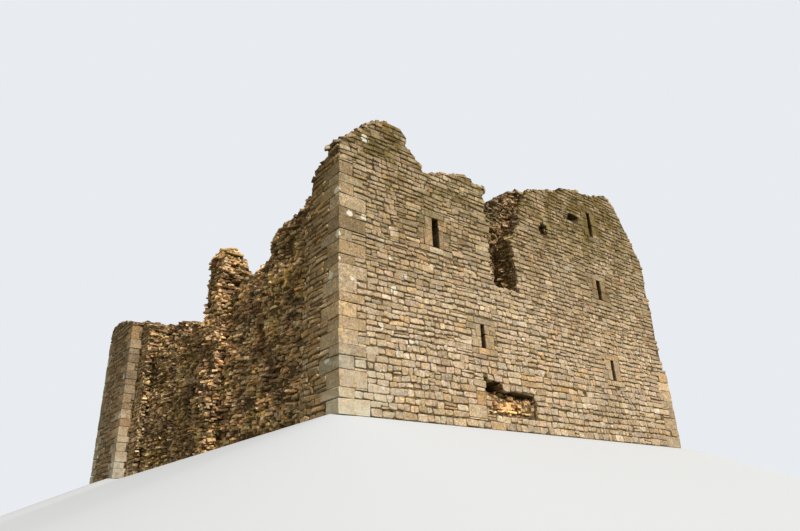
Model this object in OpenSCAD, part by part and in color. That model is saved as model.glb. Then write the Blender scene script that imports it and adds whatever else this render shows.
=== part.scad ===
// Ruined castle keep: four thick masonry walls round an open court, with a clasping turret
// at the far left corner. The front wall is breached, the left wall has lost its facing.
// Built from the near corner of the front wall, then moved so the origin is under the middle.

/* [Plan] */
// Length of the front wall at its foot
front_len = 18450; // [17000:50:20000]
// Depth of the keep, from the front face to the back wall's outer face
side_len = 22830; // [21500:10:24500]
// Thickness of every wall at its foot
wall_t = 2200; // [2000:50:2400]
// Set-back of the inner face at each upper storey
set_off = 150; // [60:10:220]
// Width of the turret along each wall
turret_w = 4050; // [3700:50:4500]
// How far the turret stands out from the walls it clasps
turret_out = 570; // [400:10:700]

/* [Heights] */
// Height of the first ledge on the inner faces
ledge_1 = 4900; // [4600:50:5100]
// Height of the second ledge on the inner faces
ledge_2 = 8400; // [8300:50:8800]
// Height of the tallest crest of the front wall
crest_h = 12300; // [12000:50:13000]
// Height of the broken top left of the breach
left_crest_h = 10800; // [10500:50:11300]
// Height of the turret at its highest
turret_h = 8850; // [8400:50:9300]
// How far the back wall's highest point lies above its upper slit
back_over_slit = 1500; // [1300:50:2000]
// How much lower the rear of a broken wall top lies than its front
rear_drop = 350; // [150:10:400]
// Thickness of the front leaf, which stands higher than the rear
front_leaf = 700; // [550:10:900]

/* [Quoins] */
// How far corner stones stand out from the wall face
quoin_out = 40; // [25:1:60]
// Long side of a corner stone
quoin_long = 1000; // [800:10:1200]
// Short side of a corner stone
quoin_short = 560; // [450:10:650]
// Usual height of a corner stone
quoin_h = 420; // [360:5:480]
// Depth of the masonry that a corner stone's sides wrap
quoin_bed = 380; // [300:10:450]

/* [Slit windows] */
// Width of most slits, outside
slit_w = 280; // [220:5:320]
// Width of the upper left slit
wide_slit_w = 320; // [280:5:340]
// Width of the lower slits of the front wall
narrow_slit_w = 220; // [180:5:260]
// Width of a slit's splay at the inner face
splay_w = 1150; // [900:10:1300]
// Depth of the straight part of a slit, outside the splay
slit_depth = 420; // [350:10:500]
// Width of a jamb stone beside a slit
jamb_w = 440; // [380:10:480]
// Height of a lintel or sill stone
lintel_h = 240; // [200:5:280]
// Sill height of the lower slits
low_sill = 2570; // [2400:10:2800]
// Sill height of the lower left slit
slit_b_sill = 2830; // [2700:10:2950]
// Height of a lower slit
low_slit_h = 880; // [700:10:1000]
// Sill height of the middle slits
mid_sill = 6250; // [6150:10:6400]
// Height of a middle slit
mid_slit_h = 950; // [800:10:1100]
// Height of the upper left slit
tall_slit_h = 1180; // [1000:10:1250]
// How far the top slit's sill lies below the crest
top_slit_drop = 2850; // [2750:10:2950]
// Height of the top slit
top_slit_h = 1300; // [1100:10:1350]

/* [Front wall] */
// Middle of the upper left slit, from the near corner
slit_a_x = 4160; // [3900:10:4300]
// Middle of the lower left slit, from the near corner
slit_b_x = 6150; // [6100:10:6250]
// Left edge of the breach, from the near corner
breach_x = 7000; // [6900:50:7300]
// Width of the breach at its foot
breach_w = 1400; // [1200:50:1700]
// Height of the foot of the breach
breach_z = 5350; // [5200:10:5500]
// Middle of the lower and middle right slits, from the right corner
slit_c_right = 4380; // [4100:10:4600]
// How far the top slit stands to the right of those two
top_slit_shift = 150; // [0:10:200]
// Width of the robbed opening at the foot of the wall
robbed_w = 2470; // [2200:10:2700]
// Depth of the robbed opening
robbed_depth = 850; // [700:10:1000]
// Height at which the corner stones of the right corner end
right_quoin_h = 3500; // [3100:10:3900]

/* [Left wall] */
// Length of the facing that is left beside the near corner
return_len = 2000; // [1850:10:2000]
// Set-back of the bare core from the lost face
core_back = 300; // [200:10:400]
// Height of the core beside the front wall
near_core_h = 8050; // [7800:10:8300]
// Where that core ends, from the front face
near_core_end = 5400; // [5200:10:5700]
// Height of the saddle in the left wall, beside that core
saddle_h = 6900; // [6600:10:7200]
// Height of the standing fragment of the left wall
pinnacle_h = 9100; // [8900:10:9600]
// Place of the near end of that fragment, from the front face
pinnacle_y = 9450; // [9200:10:9700]
// Length of the fragment at its top
pinnacle_len = 1450; // [1300:10:1700]
// Height of the low core where it meets the far facing
low_core_h = 7900; // [7700:10:8100]
// Length of the facing that is left beside the turret
far_face_len = 1250; // [1000:10:1500]

/* [Doorway] */
// Width of the doorway in the right wall
door_w = 1300; // [1100:10:1500]
// Height of the doorway to the spring of its arch
door_spring = 1900; // [1700:10:2100]
// Middle of the doorway, from the front face
door_y = 7600; // [7200:50:8200]
// Depth of an arch stone, seen in the face
arch_ring = 380; // [300:10:450]

/* [Hidden] */

sand_face = "#a8926f";
sand_core = "#7d6650";
dressed = "#b89a66";

// Far beyond any piece, for cutters
beyond = 60000;
// A cutter passes this far through the face that it opens
through = 50;
bay_half = jamb_w + wide_slit_w / 2 + 60;
slit_c_x = front_len - slit_c_right;
top_sill = crest_h - top_slit_drop;
back_h = mid_sill + mid_slit_h + back_over_slit;
// The bays of the slits are divided at two beds, halfway between the slits above and below
bed_1 = (slit_b_sill + low_slit_h + mid_sill) / 2;
bed_2 = (mid_sill + mid_slit_h + top_sill) / 2;
robbed_x = breach_x - 830;
robbed_end = robbed_x + robbed_w;
back_face = side_len - wall_t;
turret_near_y = side_len + turret_out - turret_w;
turret_back_y = side_len + turret_out;
turret_right_x = turret_w - turret_out;
middle_x = (front_len - turret_out) / 2;
middle_y = turret_back_y / 2;

// Each front slit's middle, sill height, width and height
slit_a = [slit_a_x, mid_sill, wide_slit_w, tall_slit_h];
slit_b = [slit_b_x, slit_b_sill, narrow_slit_w, low_slit_h];
slit_low = [slit_c_x, low_sill, narrow_slit_w, low_slit_h];
slit_mid = [slit_c_x, mid_sill, slit_w, mid_slit_h];
slit_top = [slit_c_x + top_slit_shift, top_sill, slit_w, top_slit_h];

// The whole keep is drawn from the near corner and set down round its middle
module set_down() {
    translate([-middle_x, -middle_y, 0])
        children();
}

// An outline in x and z, pushed from y = y0 to y = y1
module front_slab(outline, y0, y1) {
    translate([0, y1, 0])
        rotate([90, 0, 0])
            linear_extrude(height = y1 - y0)
                polygon(outline);
}

// An outline in y and z, pushed from x = x0 to x = x1
module side_slab(outline, x0, x1) {
    translate([x0, 0, 0])
        rotate([90, 0, 90])
            linear_extrude(height = x1 - x0)
                polygon(outline);
}

// An outline in x and y, pushed from z = z0 to z = z1
module plan_slab(outline, z0, z1) {
    translate([0, 0, z0])
        linear_extrude(height = z1 - z0)
            polygon(outline);
}

// Keeps what lies between x = x0 and x = x1
module between_x(x0, x1) {
    intersection() {
        children();
        translate([x0, -beyond / 2, -through])
            cube([x1 - x0, beyond, beyond]);
    }
}

// Keeps what lies between y = y0 and y = y1
module between_y(y0, y1) {
    intersection() {
        children();
        translate([-beyond / 2, y0, -through])
            cube([beyond, y1 - y0, beyond]);
    }
}

// Keeps what lies between z = z0 and z = z1
module between_z(z0, z1) {
    intersection() {
        children();
        translate([-beyond / 2, -beyond / 2, z0])
            cube([beyond, beyond, z1 - z0]);
    }
}

// Cross-section of a wall whose outer face is at 0, with its ledges inside
wall_section = [[0, 0], [wall_t, 0], [wall_t, ledge_1], [wall_t - set_off, ledge_1],
    [wall_t - set_off, ledge_2], [wall_t - 2 * set_off, ledge_2],
    [wall_t - 2 * set_off, 2 * crest_h], [0, 2 * crest_h]];

// Lowers the points of a broken top that lie above a height
function lowered(outline, above) = [for (p = outline) p[1] > above ? [p[0], p[1] - rear_drop] : p];

// Broken top of the front wall, left of the breach
left_outline = [[0, 0], [breach_x, 0], [breach_x, breach_z], [breach_x + 80, breach_z + 30],
    [breach_x - 150, breach_z + 750], [breach_x + 50, breach_z + 2150],
    [breach_x, breach_z + 2750], [breach_x - 150, left_crest_h - 2250],
    [breach_x, left_crest_h - 1800], [breach_x - 150, left_crest_h - 1500],
    [breach_x + 100, left_crest_h - 1300], [breach_x, left_crest_h - 1100],
    [breach_x - 600, left_crest_h - 1100], [breach_x - 700, left_crest_h - 900],
    [breach_x - 1150, left_crest_h - 950], [breach_x - 2000, left_crest_h - 1200],
    [breach_x - 2500, left_crest_h - 1350], [3800, left_crest_h - 1600],
    [3600, left_crest_h - 1350], [3250, left_crest_h - 900], [2900, left_crest_h - 650],
    [3000, left_crest_h - 300], [2700, left_crest_h], [1800, left_crest_h - 50],
    [1350, left_crest_h - 300], [900, left_crest_h - 700], [450, left_crest_h - 1250],
    [150, left_crest_h - 1450], [0, left_crest_h - 1600]];

// Broken top of the front wall, right of the breach
right_edge = breach_x + breach_w;
right_outline = [[robbed_end, 0], [front_len, 0], [front_len, right_quoin_h],
    [front_len - 220, right_quoin_h], [front_len - 300, right_quoin_h + 1500],
    [front_len - 200, right_quoin_h + 3000], [front_len - 340, right_quoin_h + 4000],
    [front_len - 200, crest_h - 4000], [front_len - 260, crest_h - 3100],
    [front_len - 550, crest_h - 2750], [front_len - 1050, crest_h - 1750],
    [front_len - 1350, crest_h - 1200], [front_len - 1800, crest_h - 500],
    [front_len - 2450, crest_h], [front_len - 3600, crest_h - 500],
    [front_len - 4950, crest_h - 600], [front_len - 5850, crest_h - 800],
    [front_len - 6750, crest_h - 1200], [right_edge + 2150, crest_h - 1500],
    [right_edge + 1500, crest_h - 1750], [right_edge + 1100, crest_h - 2300],
    [right_edge + 700, crest_h - 2750], [right_edge + 600, crest_h - 3300],
    [right_edge + 550, crest_h - 3750], [right_edge + 150, breach_z + 2750],
    [right_edge - 100, breach_z + 2300], [right_edge, breach_z + 1850],
    [right_edge - 50, breach_z + 50], [right_edge, breach_z], [robbed_end, breach_z]];

// The core that stands between the two, behind the lost facing
core_outline = [[breach_x - 400, breach_z], [right_edge + 2200, breach_z],
    [right_edge + 2200, crest_h - 1550], [right_edge + 1050, crest_h - 1800],
    [right_edge + 350, crest_h - 2150], [right_edge - 300, crest_h - 2650],
    [right_edge - 750, crest_h - 2900], [breach_x + 200, crest_h - 3350],
    [breach_x - 100, crest_h - 3550], [breach_x - 400, crest_h - 3850]];
core_section = [[1100, breach_z], [1100, breach_z + 1700], [800, breach_z + 2950],
    [400, breach_z + 4400], [330, 2 * crest_h], [wall_t, 2 * crest_h], [wall_t, breach_z]];

// Depth of the holes where single stones have been robbed
hole_depth = 430;

// Fall of the low core from its rear to its broken face
low_step_drop = 1300;

// The hollow left where the facing was robbed from the foot of the wall
hollow_foot = 550;
hollow_outline = [[robbed_x, hollow_foot], [robbed_x, hollow_foot + 680],
    [robbed_x - 140, hollow_foot + 740], [robbed_x - 140, hollow_foot + 1250],
    [robbed_x + 430, hollow_foot + 1220], [robbed_x + 640, hollow_foot + 1100],
    [robbed_x + 780, hollow_foot + 890], [robbed_end, hollow_foot + 790],
    [robbed_end - 90, hollow_foot]];

// The plan of a slit: straight outside, splayed inside, facing down the y axis
module slit_plan(w, z0, z1) {
    plan_slab([[-w / 2, -through], [w / 2, -through], [w / 2, slit_depth],
        [splay_w / 2, wall_t + through], [-splay_w / 2, wall_t + through],
        [-w / 2, slit_depth]], z0, z1);
}

// A slit's opening, and the seat of its dressed stones, both cut out of the wall
module slit(s) {
    translate([s[0], 0, 0])
        slit_plan(s[2], s[1], s[1] + s[3]);
    translate([s[0] - s[2] / 2 - jamb_w, -through, s[1] - lintel_h])
        cube([s[2] + 2 * jamb_w, slit_depth + through, s[3] + 2 * lintel_h]);
}

// Sill, lintel and jamb stones round a slit
module surround(s) {
    width = s[2] + 2 * jamb_w;
    depth = slit_depth + quoin_out / 2;
    translate([s[0] - width / 2, -quoin_out / 2, s[1]]) {
        for (z = [-lintel_h, s[3]])
            translate([0, 0, z])
                cube([width, depth, lintel_h]);
        for (x = [0, width - jamb_w])
            translate([x, 0, 0])
                cube([jamb_w, depth, s[3]]);
    }
}

// Corner stones are uneven: how far each bed strays from an even height, and what share of its
// usual reach each stone has
bed_stray = [0, 0.13, -0.12, 0.1, 0.16, -0.08, 0.05];
reach_share = [1, 0.9, 0.97, 0.84, 0.93];

function quoin_bed_z(i) = quoin_h * (i + bed_stray[i % len(bed_stray)]);
function quoin_share(i) = reach_share[i % len(reach_share)];

// One corner's stones, alternately long one way and long the other, up to the last that ends
// below top_z. They wrap the corner at the origin, along +x and +y. Each pair is a short and a
// long reach.
module quoins(top_z, along_x = [quoin_short, quoin_long], along_y = [quoin_short, quoin_long]) {
    courses = floor(top_z / quoin_h);
    for (i = [0 : courses - 1]) {
        rise = quoin_bed_z(i + 1) - quoin_bed_z(i);
        translate([-quoin_out, -quoin_out, quoin_bed_z(i)])
            difference() {
                cube([quoin_out + along_x[(i + 1) % 2] * quoin_share(i),
                    quoin_out + along_y[i % 2] * quoin_share(i + 2), rise]);
                translate([quoin_out + quoin_bed, quoin_out + quoin_bed, -through])
                    cube([quoin_long, quoin_long, rise + 2 * through]);
            }
    }
}

// How far the near corner's stones end below the crest
near_quoins_drop = 2340;

module near_quoins_here() {
    quoins(left_crest_h - near_quoins_drop);
}

// The front wall's two parts, each with a lower rear
module front_left_mass() {
    intersection() {
        union() {
            front_slab(left_outline, 0, front_leaf);
            front_slab(lowered(left_outline, left_crest_h - 1700), front_leaf, wall_t);
        }
        side_slab(wall_section, -through, front_len);
    }
}

module front_right_mass() {
    intersection() {
        union() {
            front_slab(right_outline, 0, front_leaf);
            front_slab(lowered(right_outline, crest_h - 2800), front_leaf, wall_t);
        }
        side_slab(wall_section, 0, front_len + through);
    }
}

module robbed_hollow() {
    front_slab(hollow_outline, -through, robbed_depth);
}

// Ragged edge of that facing: how far it strays from its usual length at each height
return_stray = [[190, -through], [190, 900], [150, 2100], [180, 2700], [110, 3400], [60, 4000],
    [20, 4800], [40, 5600], [-20, 6300], [-60, 6900], [-200, 7700], [-350, 8400], [-640, 8500],
    [-800, 8700], [-1160, 8900], [-1220, 9200], [-1350, 9450], [-1350, crest_h]];

// Where the facing of the left wall has been robbed, behind the near corner
module robbed_return() {
    side_slab([for (p = return_stray) [return_len + p[0], p[1]],
        [wall_t + through, crest_h], [wall_t + through, -through]],
        -through, core_back);
}

// near corner stones
module near_corner_quoins() {
    color(dressed)
        set_down()
            near_quoins_here();
}

// a bay of the wall left of the breach, between two places and two heights
module left_part(x0, x1, z0, z1) {
    color(sand_face)
        set_down()
            difference() {
                between_z(z0, z1)
                    between_x(x0, x1)
                        front_left_mass();
                near_quoins_here();
                robbed_return();
                robbed_hollow();
                slit(slit_a);
                slit(slit_b);
            }
}

// the foot of the wall from the near corner to the lower slit
module front_wall_corner_foot() {
    left_part(0, slit_b_x - bay_half, 0, bed_1);
}

// the bay round the lower left slit, beside the robbed opening
module front_wall_lower_slit_bay() {
    left_part(slit_b_x - bay_half, breach_x, 0, bed_1);
}

// the upper wall beside the near corner, with the highest of the left crest
module front_wall_corner_bay() {
    left_part(0, slit_a_x - bay_half, bed_1, crest_h);
}

// the bay round the upper left slit
module front_wall_upper_slit_bay() {
    left_part(slit_a_x - bay_half, slit_a_x + bay_half, bed_1, crest_h);
}

// the ragged edge left of the breach
module front_wall_breach_side() {
    left_part(slit_a_x + bay_half, front_len, bed_1, crest_h);
}

// the wall under the breach
module front_wall_under_breach() {
    color(sand_face)
        set_down()
            difference() {
                translate([breach_x, 0, 0])
                    cube([robbed_end - breach_x, wall_t, breach_z]);
                translate([0, wall_t - set_off, ledge_1])
                    cube([front_len, wall_t, crest_h]);
                robbed_hollow();
            }
}

// rubble core behind the lost facing of the breach
module breach_core() {
    color(sand_core)
        set_down()
            difference() {
                intersection() {
                    front_slab(core_outline, 0, wall_t);
                    side_slab(core_section, 0, front_len);
                    side_slab(wall_section, 0, front_len);
                }
                front_left_mass();
                front_right_mass();
            }
}

// small holes where single stones of the facing have been robbed
module robbed_holes() {
    front_slab([[right_edge + 1900, crest_h - 3750], [right_edge + 2450, crest_h - 3700],
        [right_edge + 2500, crest_h - 3200], [right_edge + 2250, crest_h - 3050],
        [right_edge + 1950, crest_h - 3200]], -through, hole_depth);
    front_slab([[slit_c_x - 1570, crest_h - 2400], [slit_c_x - 770, crest_h - 2350],
        [slit_c_x - 720, crest_h - 2050], [slit_c_x - 1520, crest_h - 2000]],
        -through, hole_depth);
}

slit_column_x = slit_c_x - bay_half;
slit_column_end = slit_c_x + bay_half + top_slit_shift;

// a bay of the wall right of the breach, between two places and two heights
module right_of_breach_part(x0, x1, z0, z1) {
    color(sand_face)
        set_down()
            difference() {
                between_z(z0, z1)
                    between_x(x0, x1)
                        front_right_mass();
                robbed_holes();
                right_quoins_here();
                slit(slit_low);
                slit(slit_mid);
                slit(slit_top);
            }
}

// front wall from the breach to the column of slits
module front_wall_middle() {
    right_of_breach_part(0, slit_column_x, 0, crest_h);
}

// the bays round the three right-hand slits, one above the other
module front_wall_low_slit_bay() {
    right_of_breach_part(slit_column_x, slit_column_end, 0, bed_1);
}

module front_wall_middle_slit_bay() {
    right_of_breach_part(slit_column_x, slit_column_end, bed_1, bed_2);
}

module front_wall_top_slit_bay() {
    right_of_breach_part(slit_column_x, slit_column_end, bed_2, crest_h);
}

// front wall from the column of slits to the right corner
module front_wall_right() {
    right_of_breach_part(slit_column_end, front_len, 0, crest_h);
}

// Facing that is left above the last of them
right_quoin_cap = 100;

// moves the corner stones to the right corner
module right_quoins_here() {
    translate([front_len, 0, 0])
        mirror([1, 0, 0])
            quoins(right_quoin_h - right_quoin_cap);
}

// what is left of the right corner's stones
module right_corner_quoins() {
    color(dressed)
        set_down()
            right_quoins_here();
}

// rubble sloping up to the back of the robbed opening
module robbed_opening_core() {
    color(sand_core)
        set_down()
            intersection() {
                robbed_hollow();
                side_slab([[60, hollow_foot], [110, hollow_foot + 350], [210, hollow_foot + 600],
                    [420, hollow_foot + 770], [robbed_depth, hollow_foot + 950],
                    [robbed_depth, hollow_foot]],
                    0, front_len);
            }
}

module one_surround(s) {
    color(dressed)
        set_down()
            surround(s);
}

// dressed stones of the front slits
module upper_left_slit_surround() {
    one_surround(slit_a);
}

module lower_left_slit_surround() {
    one_surround(slit_b);
}

module lower_right_slit_surround() {
    one_surround(slit_low);
}

module middle_right_slit_surround() {
    one_surround(slit_mid);
}

module top_right_slit_surround() {
    one_surround(slit_top);
}

// cross-section of the left wall's core, in x and z, with the ledges inside
core_x_section = [[core_back, 0], [wall_t, 0], [wall_t, ledge_1], [wall_t - set_off, ledge_1],
    [wall_t - set_off, ledge_2], [wall_t - 2 * set_off, ledge_2],
    [wall_t - 2 * set_off, crest_h], [core_back + 250, crest_h], [core_back + 150, 5000],
    [core_back + 80, 2500]];

// How far the side walls reach in behind the front and back walls, to close their set-backs
side_reach = 2 * set_off;

// the core beside the front wall, in y and z
near_core_outline = [[wall_t - side_reach, 0], [near_core_end, 0], [near_core_end + 150, 1800],
    [near_core_end, 3600], [near_core_end + 60, near_core_h - 1150],
    [near_core_end, near_core_h - 400], [near_core_end - 550, near_core_h - 190],
    [near_core_end - 950, near_core_h - 90], [near_core_end - 1250, near_core_h],
    [wall_t + 800, near_core_h + 40], [wall_t + 650, near_core_h + 300],
    [wall_t - side_reach, near_core_h + 320]];

// core of the left wall where it leaves the front wall
module left_wall_near_core() {
    color(sand_core)
        set_down()
            difference() {
                intersection() {
                    side_slab(near_core_outline, 0, wall_t);
                    front_slab(core_x_section, 0, side_len);
                }
                front_left_mass();
            }
}

// How far the saddle's face lies behind that of the near core
saddle_back = 250;

// the low stretch between the near core and the standing fragment
module left_wall_saddle() {
    color(sand_core)
        set_down()
            difference() {
                intersection() {
                    side_slab([[wall_t, 0], [pinnacle_y, 0], [pinnacle_y, saddle_h - 450],
                        [pinnacle_y - 900, saddle_h - 250], [near_core_end + 1800, saddle_h - 80],
                        [near_core_end + 1050, saddle_h - 120], [near_core_end + 450, saddle_h + 150],
                        [near_core_end, saddle_h + 250], [wall_t, saddle_h]],
                        core_back + saddle_back, wall_t);
                    front_slab(core_x_section, 0, side_len);
                }
                side_slab(near_core_outline, 0, wall_t);
                side_slab(pinnacle_outline, 0, wall_t);
            }
}

pinnacle_far = pinnacle_y + pinnacle_len;

// the standing fragment, in y and z
pinnacle_outline = [[pinnacle_y, 0], [pinnacle_far + 350, 0], [pinnacle_far + 200, 3000],
    [pinnacle_far + 50, pinnacle_h - 2400], [pinnacle_far, pinnacle_h - 1200],
    [pinnacle_far - 200, pinnacle_h - 650], [pinnacle_far - 550, pinnacle_h - 200],
    [pinnacle_far - 1000, pinnacle_h], [pinnacle_y + 200, pinnacle_h - 100],
    [pinnacle_y + 30, pinnacle_h - 450], [pinnacle_y - 60, pinnacle_h - 1500],
    [pinnacle_y + 20, pinnacle_h - 2300], [pinnacle_y - 120, pinnacle_h - 4200],
    [pinnacle_y - 60, pinnacle_h - 6400]];

// the standing fragment of the left wall
module left_wall_pinnacle() {
    color(sand_core)
        set_down()
            intersection() {
                side_slab(pinnacle_outline, 0, wall_t);
                front_slab([[130, 0], [wall_t, 0], [wall_t, ledge_1],
                    [wall_t - set_off, ledge_1], [wall_t - set_off, pinnacle_h - 2900],
                    [wall_t - 2 * set_off, pinnacle_h - 2700],
                    [wall_t - 640, pinnacle_h - 1600], [wall_t - 790, pinnacle_h - 1100],
                    [wall_t - 930, pinnacle_h - 650], [wall_t - 1220, pinnacle_h - 350],
                    [600, pinnacle_h], [330, pinnacle_h - 200], [180, pinnacle_h - 500],
                    [220, pinnacle_h - 3100], [90, pinnacle_h - 6100]],
                    0, side_len);
            }
}

far_face_y = turret_near_y - far_face_len;

// One layer of the low core: from an edge at x0 to one at x1, lowered towards the front
module low_core_layer(x0, x1, drop) {
    top = low_core_h - drop;
    side_slab([[pinnacle_y, 0], [far_face_y, 0], [far_face_y, top],
        [far_face_y - 700, top - 400], [far_face_y - 1700, top - 450],
        [far_face_y - 3100, top - 750], [far_face_y - 3700, top - 1050],
        [pinnacle_far + 1200, top - 1650], [pinnacle_y, top - 1900]], x0, x1);
}

// the low core between the fragment and the surviving far face, broken back in three steps
module left_wall_low_core() {
    color(sand_core)
        set_down()
            difference() {
                intersection() {
                    union() {
                        low_core_layer(core_back, 650, low_step_drop);
                        low_core_layer(650, 1050, low_step_drop / 2);
                        low_core_layer(1050, wall_t, 0);
                    }
                    front_slab(core_x_section, 0, side_len);
                }
                side_slab(pinnacle_outline, 0, wall_t);
            }
}

// the last of the left wall's facing, beside the turret
module left_wall_far_face() {
    color(sand_face)
        set_down()
            intersection() {
                side_slab([[far_face_y, 0], [turret_near_y, 0],
                    [turret_near_y, low_core_h + 250], [far_face_y + far_face_len / 2,
                    low_core_h + 50], [far_face_y, low_core_h - 300]], 0, wall_t);
                front_slab(wall_section, 0, side_len);
            }
}

turret_courses = floor((turret_h - 850) / quoin_h);

// On the turret's short returns the stones reach no further than the wall that it clasps
turret_reach = [turret_out - 170, turret_out];

module turret_quoins_here(which) {
    if (which == "near")
        translate([-turret_out, turret_near_y, 0])
            quoins(turret_courses * quoin_h, along_x = turret_reach);
    if (which == "outer")
        translate([-turret_out, turret_back_y, 0])
            mirror([0, 1, 0])
                quoins(turret_courses * quoin_h);
    if (which == "back")
        translate([turret_right_x, turret_back_y, 0])
            mirror([0, 1, 0])
                mirror([1, 0, 0])
                    quoins((turret_courses - 1) * quoin_h, along_y = turret_reach);
}

// the clasping turret at the far left corner, one mass of masonry
module corner_turret() {
    color(sand_face)
        set_down()
            difference() {
                intersection() {
                    translate([-turret_out, turret_near_y, 0])
                        cube([turret_w, turret_w, turret_h]);
                    side_slab([[turret_near_y, 0], [turret_back_y, 0],
                        [turret_back_y, turret_h - 150], [turret_back_y - 500, turret_h],
                        [turret_near_y + 2400, turret_h - 100],
                        [turret_near_y + 900, turret_h - 500],
                        [turret_near_y, turret_h - 800]], -turret_out, turret_right_x);
                    front_slab([[-turret_out, 0], [turret_right_x, 0],
                        [turret_right_x, turret_h - 900], [1800, turret_h - 350],
                        [600, turret_h], [-turret_out, turret_h - 100]], 0, turret_back_y);
                }
                turret_quoins_here("near");
                turret_quoins_here("outer");
                turret_quoins_here("back");
            }
}

module turret_near_quoins() {
    color(dressed)
        set_down()
            turret_quoins_here("near");
}

module turret_outer_quoins() {
    color(dressed)
        set_down()
            turret_quoins_here("outer");
}

module turret_back_quoins() {
    color(dressed)
        set_down()
            turret_quoins_here("back");
}

// Broken top of the back wall, in x and z
back_clear = front_len - turret_right_x;
back_outline = [[turret_right_x, 0], [front_len, 0], [front_len, back_h - 400],
    [front_len - 900, back_h - 300], [front_len - 1700, back_h], [front_len - 3600, back_h - 200],
    [front_len - 4300, back_h - 900], [front_len - back_clear * 0.41, back_h - 1200],
    [front_len - back_clear * 0.49, back_h - 1900], [front_len - back_clear * 0.62, back_h - 1700],
    [turret_right_x + 4300, back_h - 1100], [turret_right_x + 2400, back_h - 900],
    [turret_right_x + 900, back_h - 1500], [turret_right_x, back_h - 1300]];

// turns what is drawn for a wall facing -y into one facing +y at the back
module at_back() {
    translate([0, side_len, 0])
        mirror([0, 1, 0])
            children();
}

module back_mass() {
    at_back()
        intersection() {
            union() {
                front_slab(back_outline, 0, front_leaf);
                front_slab(lowered(back_outline, back_h - 2000), front_leaf, wall_t);
            }
            side_slab(wall_section, 0, front_len + through);
        }
}

// The slits of the back wall
back_slit_1 = [turret_right_x + 2700, low_sill, slit_w, low_slit_h];
back_slit_2 = [front_len - slit_c_right, low_sill, slit_w, low_slit_h];
back_slit_3 = [front_len - slit_c_right, mid_sill, slit_w, mid_slit_h];

module back_part(x0, x1, z0, z1) {
    color(sand_face)
        set_down()
            difference() {
                between_z(z0, z1)
                    between_x(x0, x1)
                        back_mass();
                at_back() {
                    slit(back_slit_1);
                    slit(back_slit_2);
                    slit(back_slit_3);
                }
                back_quoins_here();
            }
}

module back_quoins_here() {
    translate([front_len, side_len, 0])
        mirror([1, 0, 0])
            mirror([0, 1, 0])
                quoins(floor((back_h - 500) / quoin_h) * quoin_h);
}

module back_wall_left() {
    back_part(turret_right_x, back_slit_1[0] - bay_half, 0, crest_h);
}

module back_wall_left_slit_bay() {
    back_part(back_slit_1[0] - bay_half, back_slit_1[0] + bay_half, 0, crest_h);
}

module back_wall_middle() {
    back_part(back_slit_1[0] + bay_half, back_slit_2[0] - bay_half, 0, crest_h);
}

module back_wall_low_slit_bay() {
    back_part(back_slit_2[0] - bay_half, back_slit_2[0] + bay_half, 0, bed_1);
}

module back_wall_middle_slit_bay() {
    back_part(back_slit_2[0] - bay_half, back_slit_2[0] + bay_half, bed_1, crest_h);
}

module back_wall_right() {
    back_part(back_slit_2[0] + bay_half, front_len, 0, crest_h);
}

module back_wall_slit_surrounds() {
    color(dressed)
        set_down()
            at_back() {
                surround(back_slit_1);
                surround(back_slit_2);
                surround(back_slit_3);
            }
}

module back_right_quoins() {
    color(dressed)
        set_down()
            back_quoins_here();
}

// Broken top of the right wall, in y and z
side_outline = [[wall_t - side_reach, 0], [back_face + side_reach, 0],
    [back_face + side_reach, back_h - 700],
    [back_face - 900, back_h - 300], [back_face - 3100, back_h - 550],
    [back_face - 4100, back_h - 900], [back_face - 6600, back_h - 950],
    [back_face - 7900, back_h - 300], [door_y + 2300, back_h + 100], [door_y + 900, back_h - 250],
    [door_y - 900, back_h + 300], [door_y - 2200, back_h + 900], [wall_t + 1200, back_h + 1250],
    [wall_t - side_reach, back_h + 1500]];

// turns what is drawn for a wall facing -y, in x and z, into one facing +x, in y and z
module at_right() {
    translate([front_len, 0, 0])
        rotate([0, 0, 90])
            children();
}

module right_mass() {
    difference() {
        at_right()
            intersection() {
                union() {
                    front_slab(side_outline, 0, front_leaf);
                    front_slab(lowered(side_outline, back_h - 1400), front_leaf, wall_t);
                }
                side_slab(wall_section, 0, side_len);
            }
        front_right_mass();
        back_mass();
    }
}

// The slits of the right wall, one above the other
right_slit_y = back_face - 4600;
right_slit_low = [right_slit_y, low_sill, slit_w, low_slit_h];
right_slit_mid = [right_slit_y, mid_sill, slit_w, mid_slit_h];

// the doorway: straight jambs and a round head
module door_hole(extra) {
    translate([door_y, wall_t + through, 0])
        rotate([90, 0, 0])
            linear_extrude(height = wall_t + 2 * through) {
                translate([-door_w / 2 - extra, -through])
                    square([door_w + 2 * extra, door_spring + through]);
                translate([0, door_spring])
                    circle(d = door_w + 2 * extra, $fn = 64);
            }
}

module right_part(y0, y1, z0, z1) {
    color(sand_face)
        set_down()
            difference() {
                between_z(z0, z1)
                    between_y(y0, y1)
                        right_mass();
                at_right() {
                    slit(right_slit_low);
                    slit(right_slit_mid);
                    door_hole(arch_ring);
                }
                right_quoins_here();
                back_quoins_here();
            }
}

door_half = door_w / 2 + arch_ring;

module right_wall_near() {
    right_part(wall_t - side_reach, door_y - door_half, 0, crest_h);
}

module right_wall_over_door() {
    right_part(door_y - door_half, door_y + door_half, 0, crest_h);
}

// arch stones and jambs of the doorway
module right_wall_door_arch() {
    color(dressed)
        set_down()
            at_right()
                intersection() {
                    difference() {
                        door_hole(arch_ring);
                        door_hole(0);
                    }
                    cube([side_len, wall_t, crest_h]);
                }
}

module right_wall_middle() {
    right_part(door_y + door_half, right_slit_y - bay_half, 0, crest_h);
}

module right_wall_low_slit_bay() {
    right_part(right_slit_y - bay_half, right_slit_y + bay_half, 0, bed_1);
}

module right_wall_middle_slit_bay() {
    right_part(right_slit_y - bay_half, right_slit_y + bay_half, bed_1, crest_h);
}

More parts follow.
